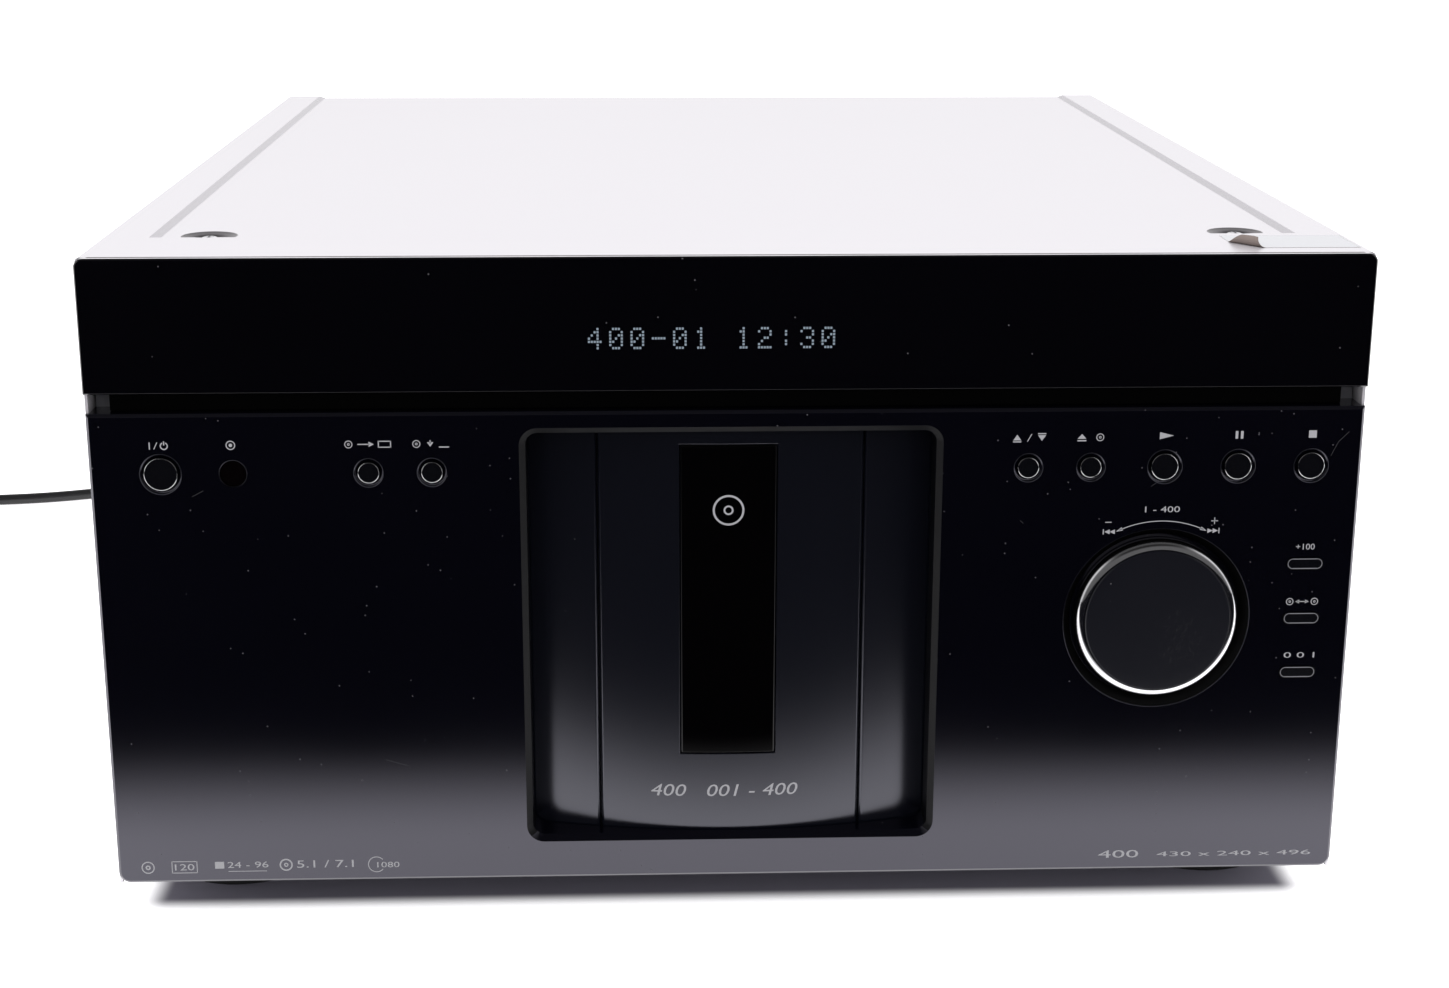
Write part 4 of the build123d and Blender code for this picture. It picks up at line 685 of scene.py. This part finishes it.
def text_shapes(words, x0, x1, z0, z1, lean=0.0):
    """Plain lettering as polygons, stretched into a box and leaned."""
    data = bpy.data.curves.new("lettering", "FONT")
    data.body = words
    data.resolution_u = 3
    lettering = placed("lettering", data)
    mesh = settled_mesh(lettering)
    bpy.data.objects.remove(lettering)
    xs = [v.co.x for v in mesh.vertices]
    zs = [v.co.y for v in mesh.vertices]
    across = (x1 - x0) / (max(xs) - min(xs))
    up = (z1 - z0) / (max(zs) - min(zs))

    def place(v):
        """A vertex's place in the box."""
        z = z0 + (v.co.y - min(zs)) * up
        return x0 + (v.co.x - min(xs)) * across + (z - z0) * lean, z

    found = [[place(mesh.vertices[i]) for i in face.vertices] for face in mesh.polygons]
    bpy.data.meshes.remove(mesh)
    return found


def disc_icon(x, z, radius):
    """A plain disc: rim and hub."""
    return ring_shape(x, z, radius, radius * 0.78) + ring_shape(x, z, radius * 0.34, radius * 0.16, steps=16)


def skip_icon(x, z, side):
    """Two triangles and a bar; side is 1 for forward and -1 for back."""
    heading = 0 if side > 0 else 180
    shapes = arrow_head(x - side * 1.35, z, 1.9, 1.7, heading)
    shapes += arrow_head(x + side * 0.45, z, 1.9, 1.7, heading)
    return shapes + bar(x + side * 1.7, z - 0.95, x + side * 1.7, z + 0.95, 0.35)


def left_marks():
    """Marks over the buttons at the left."""
    row = 177.1
    shapes = bar(-194.1, row - 1.25, -194.1, row + 1.2, 0.4) + bar(-192.7, row - 1.2, -191.5, row + 1.2, 0.3)
    shapes += ring_shape(-189.3, row - 0.1, 1.35, 0.95, 115, 425)
    shapes += bar(-189.3, row + 0.1, -189.3, row + 1.5, 0.4)
    shapes += ring_shape(-167.3, row, 1.6, 1.25) + ring_shape(-167.3, row, 0.6, 0.0)
    shapes += disc_icon(-128.2, row, 1.35) + bar(-125.2, row, -121.2, row, 0.35)
    shapes += arrow_head(-120.6, row, 1.8, 1.8, 0) + frame_shape(-116.2, row, 4.4, 2.4, 0.35)
    shapes += disc_icon(-105.6, row, 1.35) + arrow_head(-101.0, row - 0.2, 1.6, 2.2, -90)
    shapes += bar(-101.0, row, -101.0, row + 1.3, 0.35) + box_shape(-96.4, row - 1.1, 3.4, 0.4)
    return shapes


def right_marks():
    """Marks over the buttons at the right."""
    row = 177.7
    shapes = arrow_head(96.4, row + 0.1, 2.0, 2.8, 90) + box_shape(96.4, row - 1.4, 2.8, 0.4)
    shapes += bar(99.9, row - 1.3, 101.3, row + 1.3, 0.3)
    shapes += arrow_head(104.8, row - 0.1, 2.0, 2.8, -90) + box_shape(104.8, row + 1.4, 2.8, 0.4)
    shapes += arrow_head(118.4, row + 0.35, 1.7, 3.0, 90) + box_shape(118.4, row - 1.15, 3.0, 0.45)
    shapes += disc_icon(124.6, row, 1.35)
    shapes += arrow_head(147.3, 178.1, 4.8, 2.5, 0)
    for x, z, width, height in ((171.2, 178.2, 0.9, 2.7), (173.0, 178.2, 0.9, 2.7), (197.2, 178.3, 2.7, 2.6)):
        shapes += box_shape(x, z, width, height)
    return shapes


def dial_marks():
    """Marks round the dial and over the three oblong buttons."""
    shapes = text_shapes("1 - 400", 141.2, 153.2, 151.1, 153.2)
    arc_x, radius, half = 147.2, 35.2, 24.5
    shapes += ring_shape(arc_x, dial_z, radius + 0.15, radius - 0.15, 90 - half, 90 + half, 30)
    for side in (-1, 1):
        turn = math.radians(90 - side * half)
        shapes += arrow_head(arc_x + radius * math.cos(turn), dial_z + radius * math.sin(turn), 2.4, 1.3,
                             -side * half + (180 if side < 0 else 0))
    shapes += bar(127.7, 147.7, 129.9, 147.7, 0.3)
    shapes += bar(164.2, 147.9, 166.6, 147.9, 0.3) + bar(165.4, 146.7, 165.4, 149.1, 0.3)
    shapes += skip_icon(128.9, 144.3, -1) + skip_icon(165.4, 144.4, 1)
    shapes += text_shapes("+100", 194.2, 200.7, 137.3, 139.4)
    row = 118.5
    shapes += disc_icon(193.4, row, 1.3) + disc_icon(202.0, row, 1.3) + bar(195.8, row, 199.6, row, 0.3)
    shapes += arrow_head(199.4, row, 1.4, 1.4, 0) + arrow_head(196.0, row, 1.4, 1.4, 180)
    shapes += text_shapes("0 0 1", 192.6, 203.4, 97.9, 99.9)
    return shapes


def foot_marks():
    """Plain numbers and discs along the bottom edge."""
    shapes = ring_shape(-204.3, 24.4, 2.3, 1.9) + ring_shape(-204.3, 24.4, 0.9, 0.4, steps=18)
    shapes += frame_shape(-191.6, 24.4, 9.0, 4.6, 0.3) + text_shapes("120", -195.0, -188.2, 23.2, 25.6)
    shapes += box_shape(-179.4, 25.0, 3.2, 2.6) + text_shapes("24 - 96", -176.6, -162.4, 23.9, 26.2)
    shapes += bar(-176.4, 22.6, -163.0, 22.6, 0.25)
    shapes += disc_icon(-156.2, 24.8, 2.3) + text_shapes("5.1 / 7.1", -152.4, -132.6, 23.6, 26.4)
    shapes += ring_shape(-124.6, 24.5, 3.0, 2.7, 40, 320) + text_shapes("1080", -124.4, -116.6, 23.3, 25.4)
    shapes += text_shapes("400", 131.0, 145.4, 23.0, 25.9)
    shapes += text_shapes("430 x 240 x 496", 152.0, 207.4, 23.3, 25.1)
    return shapes


printed("panel_marks", left_marks() + right_marks() + dial_marks(), front_plane, print_grey, "casing")
printed("foot_marks", foot_marks(), front_plane, print_grey, "casing")
door_words = text_shapes("400   001 - 400", -28.3, 23.2, 46.9, 51.4, 0.25)
printed("door_line", door_words, door_face, print_grey, "door")
strip_rings = ring_shape(-0.9, 152.0, 5.4, 4.7, steps=48) + ring_shape(-0.9, 152.0, 1.7, 1.1)
printed("strip_mark", strip_rings, strip_face, print_grey, "door")


def mirrored(shapes, x):
    """Shapes turned over about an upright line, to be read from behind."""
    return [[(2 * x - a, b) for a, b in shape] for shape in shapes]


def rear_marks():
    """Plain numbers over the sockets and the gland and a frame round the jacks, seen from behind."""
    shapes = []
    for i in range(len(socket_colours)):
        x = (first_jack + i * jack_pitch) / MM
        words = str(i + 1)
        half = 0.9 * len(words)
        shapes += mirrored(text_shapes(words, x - half, x + half, 212.2, 215.0), x)
    for words, x, half in (("20", 48.0, 2.2), ("30", 70.0, 2.2), ("40", 90.0, 2.2), ("50 - 60", -165.0, 8.0)):
        low = 216.4 if x > 0 else 58.0
        shapes += mirrored(text_shapes(words, x - half, x + half, low, low + 3.0), x)
    shapes += frame_shape(-42.0, 205.5, 156.0, 24.0, 0.4)
    return shapes


printed("rear_marks", rear_marks(), lambda x: outer_wall + print_lift, print_grey, "casing", 1)


# Bright edges

def edge_ring(name, x, z, radius, depth, body, material):
    """A thin bright ring of round wire section, facing the front."""
    profile = [(radius - 0.22, depth + 0.3), (radius - 0.2, depth), (radius - 0.1, depth - 0.08),
               (radius + 0.02, depth), (radius + 0.02, depth + 0.3)]
    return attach(lathe(name, profile, at(x, 0.0, z), facing, material, 64), body)


def button_face(node):
    """A button's middle and half sizes without its flange, across and up in millimetres, and its front."""
    low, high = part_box(node)
    return ((low.x + high.x) / 2 / MM, (low.z + high.z) / 2 / MM, (high.x - low.x) / 2 / MM - button_flange,
            (high.z - low.z) / 2 / MM - button_flange, low.y)


def make_edge_rings():
    """Bright rims on the round buttons and round their dishes, and painted highlight rims printed round the
    three oblong buttons.
    """
    for node in frame["nodes"]:
        x, z, radius = button_face(node)[:3]
        if not node.endswith("_button") or abs(z - button_row) > 0.5:
            continue
        edge_ring(node + "_rim", x, z, radius - 0.05, -0.02, node, bright_chrome)
        edge_ring(node + "_dish_rim", x, z, radius + 1.45, 0.02, "casing", dim_chrome)
    for node in ("plus_button", "change_button", "search_button"):
        x, z, far, tall, face_y = button_face(node)
        straight = far - tall
        shapes = bar(x - straight, z + tall - 0.15, x + straight, z + tall - 0.15, 0.3)
        shapes += bar(x - straight, z - tall + 0.15, x + straight, z - tall + 0.15, 0.3)
        shapes += ring_shape(x - straight, z, tall, tall - 0.22, 90, 270, 14)
        shapes += ring_shape(x + straight, z, tall, tall - 0.22, -90, 90, 14)
        # Painted highlight: a grey rim printed round the button's edge
        printed(node + "_rim", shapes, lambda x, y=face_y: y - print_lift, painted_rim_highlight, node)
    edge_ring("dial_dish_rim", dial_x, dial_z, 32.55, 0.02, "casing", dim_chrome)
    edge_ring("sensor_rim", sensor_x, button_row, 4.75, 0.25, "casing", dim_chrome)


button_flange = 1.2
dim_chrome = finish("dim_chrome", (0.07, 0.07, 0.085), 0.3, metallic=1.0, tone=0.3, depth=0.0)
make_edge_rings()


# Cover's front joint and small scratches

def make_front_joint():
    """The dark joint between the cover and the gloss panel."""
    y0, y1, half, top = casing_low.y - 0.9 * MM, casing_low.y + 0.3 * MM, 211 * MM, casing_top + print_lift
    mesh = bpy.data.meshes.new("front_joint")
    corners = [(-half, y0, top), (half, y0, top), (half, y1, top), (-half, y1, top)]
    mesh.from_pydata(corners, [], [(0, 1, 2, 3)])
    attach(new_object("front_joint", mesh, joint_brown), "casing")


def make_scratches():
    """Short scratches on the lower panel and a patch of fine ones at the cap's lower right."""
    strokes = [(-181.0, 159.4, -177.2, 161.4), (142.8, 160.3, 145.3, 162.1), (203.9, 170.6, 206.2, 175.6),
               (206.2, 175.6, 209.6, 179.0), (98.4, 148.6, 99.6, 147.6), (-120.0, 64.0, -112.0, 61.5)]
    shapes = [shape for stroke in strokes for shape in bar(*stroke, 0.14)]
    printed("panel_scratches", shapes, front_plane, scratch_grey, "casing")
    draw = random.Random(7)
    fine = []
    while len(fine) < 60:
        x, z = draw.gauss(154.0, 5.0), draw.gauss(103.0, 6.0)
        if math.hypot(x - dial_x, z - dial_z) > 19.0:
            continue
        turn, length = draw.gauss(0.9, 0.35), draw.uniform(0.4, 2.2)
        fine += bar(x, z, x + length * math.cos(turn), z + length * math.sin(turn), 0.06)
    printed("cap_scratches", fine, lambda x: front_y - cap_reach, scratch_grey, "dial")


cap_reach = 2.7 * MM
joint_brown = finish("joint_brown", (0.05, 0.035, 0.035), 0.7, specular=0.1, depth=0.0)
scratch_grey = finish("scratch_grey", (0.05, 0.05, 0.055), 0.6, specular=0.1, depth=0.0)
make_front_joint()
make_scratches()


# Screws

def make_screw_head():
    """A pan-head screw with a cross recess, its head's underside at the origin."""
    profile = [(0, 2.35), (1.6, 2.25), (2.6, 1.9), (3.3, 1.2), (3.6, 0.4), (3.6, 0), (1.5, 0), (1.5, -5.0),
               (0, -5.0)]
    head = lathe("screw_head", profile, Vector((0, 0, 0)), (0, 0, 1), motor_steel, 32)
    cutters = []
    for turn in (0, HALF_PI):
        slot = bmesh.new()
        made = bmesh.ops.create_cube(slot, size=1.0)["verts"]
        bmesh.ops.scale(slot, verts=made, vec=(3.4 * MM, 0.75 * MM, 2.2 * MM))
        bmesh.ops.rotate(slot, verts=made, cent=(0, 0, 0), matrix=Matrix.Rotation(turn, 3, "Z"))
        bmesh.ops.translate(slot, verts=made, vec=(0, 0, 2.3 * MM))
        cutters.append(from_bmesh("cross_cutter", slot))
        cut = head.modifiers.new("cross", "BOOLEAN")
        cut.operation = "DIFFERENCE"
        cut.solver = "EXACT"
        cut.object = cutters[-1]
    mesh = settled_mesh(head)
    for used in cutters + [head]:
        bpy.data.objects.remove(used)
    mesh.materials.clear()
    mesh.materials.append(screw_white)
    return placed("screw_head", mesh)


def point_tree(name, inputs):
    """A geometry tree that takes points and named numbers; returns it with its two ends."""
    tree = bpy.data.node_groups.new(name, "GeometryNodeTree")
    tree.interface.new_socket("Geometry", in_out="INPUT", socket_type="NodeSocketGeometry")
    for label, value in inputs:
        tree.interface.new_socket(label, in_out="INPUT", socket_type="NodeSocketFloat").default_value = value
    tree.interface.new_socket("Geometry", in_out="OUTPUT", socket_type="NodeSocketGeometry")
    return tree, tree.nodes.new("NodeGroupInput"), tree.nodes.new("NodeGroupOutput")


def set_on_points(tree, given, out, piece, material):
    """Sets a piece on each point as real geometry with its material; returns the node that places it."""
    put = tree.nodes.new("GeometryNodeInstanceOnPoints")
    real = tree.nodes.new("GeometryNodeRealizeInstances")
    paint = tree.nodes.new("GeometryNodeSetMaterial")
    set_inputs(paint, Material=material)
    tree.links.new(given.outputs["Geometry"], put.inputs["Points"])
    tree.links.new(piece, put.inputs["Instance"])
    tree.links.new(put.outputs["Instances"], real.inputs["Geometry"])
    tree.links.new(real.outputs["Geometry"], paint.inputs["Geometry"])
    tree.links.new(paint.outputs["Geometry"], out.inputs[0])
    return put


def attribute_socket(tree, kind, name):
    """The value that each point has under a name."""
    node = tree.nodes.new("GeometryNodeInputNamedAttribute")
    node.data_type = kind
    set_inputs(node, Name=name)
    return node.outputs["Attribute"]


def screw_tree(head):
    """Sets a head on each point, turned to its facing and scaled by its size."""
    tree, given, out = point_tree("set_screws", [("Head size", 1.0)])
    shape = tree.nodes.new("GeometryNodeObjectInfo")
    set_inputs(shape, Object=head)
    put = set_on_points(tree, given, out, shape.outputs["Geometry"], screw_white)
    turn = tree.nodes.new("FunctionNodeAlignRotationToVector")
    turn.axis = "Z"
    tree.links.new(attribute_socket(tree, "FLOAT_VECTOR", "facing"), turn.inputs["Vector"])
    tree.links.new(turn.outputs["Rotation"], put.inputs["Rotation"])
    scale = attribute_socket(tree, "FLOAT", "head_scale")
    tree.links.new(math_node(tree, "MULTIPLY", scale, given.outputs["Head size"]), put.inputs["Scale"])
    return tree


def grown(name, places, tree, attributes=(), values=()):
    """Runs a node tree on points and returns the result as a plain mesh object."""
    mesh = bpy.data.meshes.new(name + "_points")
    mesh.from_pydata([tuple(p) for p in places], [], [])
    for label, kind, rows in attributes:
        layer = mesh.attributes.new(label, kind, "POINT")
        for slot, row in zip(layer.data, rows):
            if kind == "FLOAT_VECTOR":
                slot.vector = row
            else:
                slot.value = row
    source = placed(name + "_points", mesh)
    modifier = source.modifiers.new("grow", "NODES")
    modifier.node_group = tree
    sockets = {item.name: item.identifier for item in tree.interface.items_tree if item.in_out == "INPUT"}
    for label, value in values:
        modifier[sockets[label]] = value
    result = settled_mesh(source)
    result.name = name
    bpy.data.objects.remove(source)
    return placed(name, result)


def make_screws():
    """Screws in the cover's dimples and sides, along the rear panel and under the feet."""
    side_z, foot_z, dimple_z = 24.2, 6.0, casing_top / MM - 3.4
    half = half_width / MM
    small = 3.0 / 3.6
    rows = []
    for side in (-1, 1):
        rows.append((at(side * cover_screw_x, cover_screw_depth, dimple_z), (0, 0, 1), 1.0))
        rows += [(at(side * half, depth, side_z), (side, 0, 0), small) for depth in (90.0, 406.0)]
        rows += [(at(side * 181.0, depth, foot_z), (0, 0, -1), 1.0) for depth in (64.0, 432.0)]
    rows += [(at(x, 495.0, side_z), (0, 1, 0), small) for x in (-205.0, 0.0, 205.0)]
    places, facings, sizes = zip(*rows)
    head = make_screw_head()
    screws = grown("screw_heads", places, screw_tree(head),
                   [("facing", "FLOAT_VECTOR", facings), ("head_scale", "FLOAT", sizes)],
                   [("Head size", 1.0)])
    bpy.data.objects.remove(head)
    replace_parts(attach(screws, "casing"), "casing_screws")


screw_white = finish("screw_white", (0.80, 0.80, 0.82), 0.25, metallic=0.85, tone=0.04, depth=0.0)
make_screws()


# Readout

digit_rows = {
    "0": "01110 10001 10011 10101 11001 10001 01110", "1": "00100 01100 00100 00100 00100 00100 01110",
    "2": "01110 10001 00001 00110 01000 10000 11111", "3": "01110 10001 00001 00110 00001 10001 01110",
    "4": "00010 00110 01010 10010 11111 00010 00010",
    "-": "00000 00000 00000 11111 00000 00000 00000", ":": "00000 00100 00100 00000 00100 00100 00000",
    " ": "00000 00000 00000 00000 00000 00000 00000",
}
dot_sizes = [("Dot width", 0.70 * MM), ("Dot height", 0.75 * MM), ("Dot depth", 0.04 * MM)]


def dot_tree():
    """A small flat dot on each point."""
    tree, given, out = point_tree("set_dots", dot_sizes)
    size = tree.nodes.new("ShaderNodeCombineXYZ")
    for label, axis in (("Dot width", "X"), ("Dot depth", "Y"), ("Dot height", "Z")):
        tree.links.new(given.outputs[label], size.inputs[axis])
    dot = tree.nodes.new("GeometryNodeMeshCube")
    tree.links.new(size.outputs["Vector"], dot.inputs["Size"])
    set_on_points(tree, given, out, dot.outputs["Mesh"], readout_glow)
    return tree


def make_readout():
    """Twelve cells of five by seven dots, laid on the face of the gloss panel."""
    first_x, pitch, column, row, top_z = -47.5, 7.05, 0.95, 1.08, 215.9
    places = [at(first_x + i * pitch + k * column, -0.03, top_z - j * row)
              for i, digit in enumerate("400-01 12:30")
              for j, line in enumerate(digit_rows[digit].split())
              for k, lit in enumerate(line) if lit == "1"]
    dots = grown("readout_dots", places, dot_tree(), values=dot_sizes)
    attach(dots, "casing")


make_readout()


# Blank sticker on the cover's right front corner

def make_sticker():
    """A silver-white sticker whose left corner has come off and curls up."""
    x0, x1, y0, y1 = 170.5, 212.5, 12.0, 37.0
    across, deep = 40, 24
    corner, curl, most_turn = 10.0, 2.4, 2.4
    lean_x, lean_y = 0.8, 0.6
    bm = bmesh.new()
    grid = []
    for i in range(across + 1):
        column = []
        for j in range(deep + 1):
            x, y = x0 + (x1 - x0) * i / across, y0 + (y1 - y0) * j / deep
            fold = corner - (x - x0) - (y - y0) * 0.75
            lift = 0.06
            if fold > 0:
                turn = min(fold / curl, most_turn)
                x += (fold - curl * math.sin(turn)) * lean_x
                y += (fold - curl * math.sin(turn)) * lean_y
                lift += curl * (1 - math.cos(turn)) * 0.75
            column.append(bm.verts.new(at(x, y, casing_top / MM + lift)))
        grid.append(column)
    for i in range(across):
        for j in range(deep):
            bm.faces.new((grid[i][j], grid[i + 1][j], grid[i + 1][j + 1], grid[i][j + 1]))
    bmesh.ops.recalc_face_normals(bm, faces=bm.faces)
    sticker = smooth(from_bmesh("cover_sticker", bm, label_silver, label_back), 60.0)
    if sticker.data.polygons[-1].normal.z < 0:
        sticker.data.flip_normals()
    wall = sticker.modifiers.new("paper", "SOLIDIFY")
    wall.thickness = 0.1 * MM
    wall.offset = -1.0
    wall.material_offset = 1
    wall.material_offset_rim = 1
    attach(sticker, "casing")


label_back = finish("label_back", (0.26, 0.21, 0.19), 0.6, tone=0.1, depth=0.0)
make_sticker()


# Studio

def make_floor():
    """White table with painted shadow near and under the casing and painted light (an emission glow) away
    from it; dark past its front edge where a panel mirrors it.
    """
    mesh = bpy.data.meshes.new("table_top")
    reach = 6.0
    corners = [(-reach, -reach, 0), (reach, -reach, 0), (reach, reach, 0), (-reach, reach, 0)]
    mesh.from_pydata(corners, [], [(0, 1, 2, 3)])
    material, tree, shader = new_material("table_white")
    set_inputs(shader, Roughness=0.9, Specular_IOR_Level=0.0, Emission_Color=(1.0, 0.99, 1.0, 1.0))
    place = tree.nodes.new("ShaderNodeTexCoord").outputs["Object"]
    axes = tree.nodes.new("ShaderNodeSeparateXYZ")
    tree.links.new(place, axes.inputs["Vector"])
    back = casing_high.y - shade_side
    middle_y = (front_y + shade_front + back) / 2
    outside = []
    for axis, centre, half in (("X", 0.0, half_width - shade_side), ("Y", middle_y, back - middle_y)):
        off = math_node(tree, "ABSOLUTE", math_node(tree, "SUBTRACT", axes.outputs[axis], centre))
        outside.append(math_node(tree, "MAXIMUM", math_node(tree, "SUBTRACT", off, half), 0.0))
    squares = [math_node(tree, "POWER", off, 2.0) for off in outside]
    away = math_node(tree, "SQRT", math_node(tree, "ADD", *squares))
    glow = ranged(tree, away, 0.0, glow_reach, 0.0, table_glow)
    past_edge = ranged(tree, axes.outputs["Y"], table_edge + edge_blur, table_edge - edge_blur, 0.0, 1.0)
    rays = tree.nodes.new("ShaderNodeLightPath")
    glossy = rays.outputs["Is Glossy Ray"]
    dark = math_node(tree, "MULTIPLY", past_edge, glossy)
    lit = math_node(tree, "SUBTRACT", math_node(tree, "MAXIMUM", rays.outputs["Is Camera Ray"], glossy), dark)
    open_share = math_node(tree, "DIVIDE", glow, table_glow)
    # Painted shadow: the table's colour is darker near and under the casing
    table = mixed_colour(tree, open_share, (0.22, 0.21, 0.25), (0.93, 0.93, 0.94))
    shade = mixed_colour(tree, dark, table, (0.004, 0.004, 0.006))
    tree.links.new(shade, shader.inputs["Base Color"])
    tree.links.new(math_node(tree, "MULTIPLY", glow, lit), shader.inputs["Emission Strength"])
    floor = new_object("table_top", mesh, material)


# Where the panels stop mirroring the table, and the painted light (a glow) that keeps it white outside the
# short shadow, which is partly rendered and partly painted
table_edge = front_y - 0.123
edge_blur = 0.050
shade_front = 0.0265
shade_side = 0.012
glow_reach = 0.012
table_glow = 0.8
make_floor()


def make_room():
    """White room: darker overhead and behind the camera where a surface mirrors it."""
    world = bpy.data.worlds.new("studio")
    bpy.context.scene.world = world
    world.use_nodes = True
    tree = world.node_tree
    sky = tree.nodes["Background"]
    sky.inputs["Color"].default_value = (1.0, 0.99, 1.0, 1.0)
    heading = tree.nodes.new("ShaderNodeTexCoord").outputs["Generated"]
    axes = tree.nodes.new("ShaderNodeSeparateXYZ")
    tree.links.new(heading, axes.inputs["Vector"])
    height = ranged(tree, axes.outputs["Z"], 0.55, 0.85, 1.0, 0.10)
    front = ranged(tree, axes.outputs["Y"], -0.5, 0.1, 0.12, 1.0)
    seen = math_node(tree, "MULTIPLY", height, front)
    glossy = tree.nodes.new("ShaderNodeLightPath").outputs["Is Glossy Ray"]
    plain = math_node(tree, "SUBTRACT", 1.0, glossy)
    level = math_node(tree, "ADD", plain, math_node(tree, "MULTIPLY", glossy, seen))
    tree.links.new(level, sky.inputs["Strength"])


make_room()


def soft_light(name, place, target, size, power):
    """A large area lamp that no surface mirrors."""
    data = bpy.data.lights.new(name, "AREA")
    data.shape = "SQUARE"
    data.size = size
    data.energy = power
    lamp = placed(name, data)
    lamp.location = place
    lamp.rotation_euler = (Vector(target) - Vector(place)).to_track_quat("-Z", "Y").to_euler()
    lamp.visible_glossy = False


soft_light("overhead_lamp", (0.1, -0.55, 1.9), (0, -0.05, 0.1), 1.2, 7.0)

bpy.context.scene.view_settings.view_transform = "Standard"
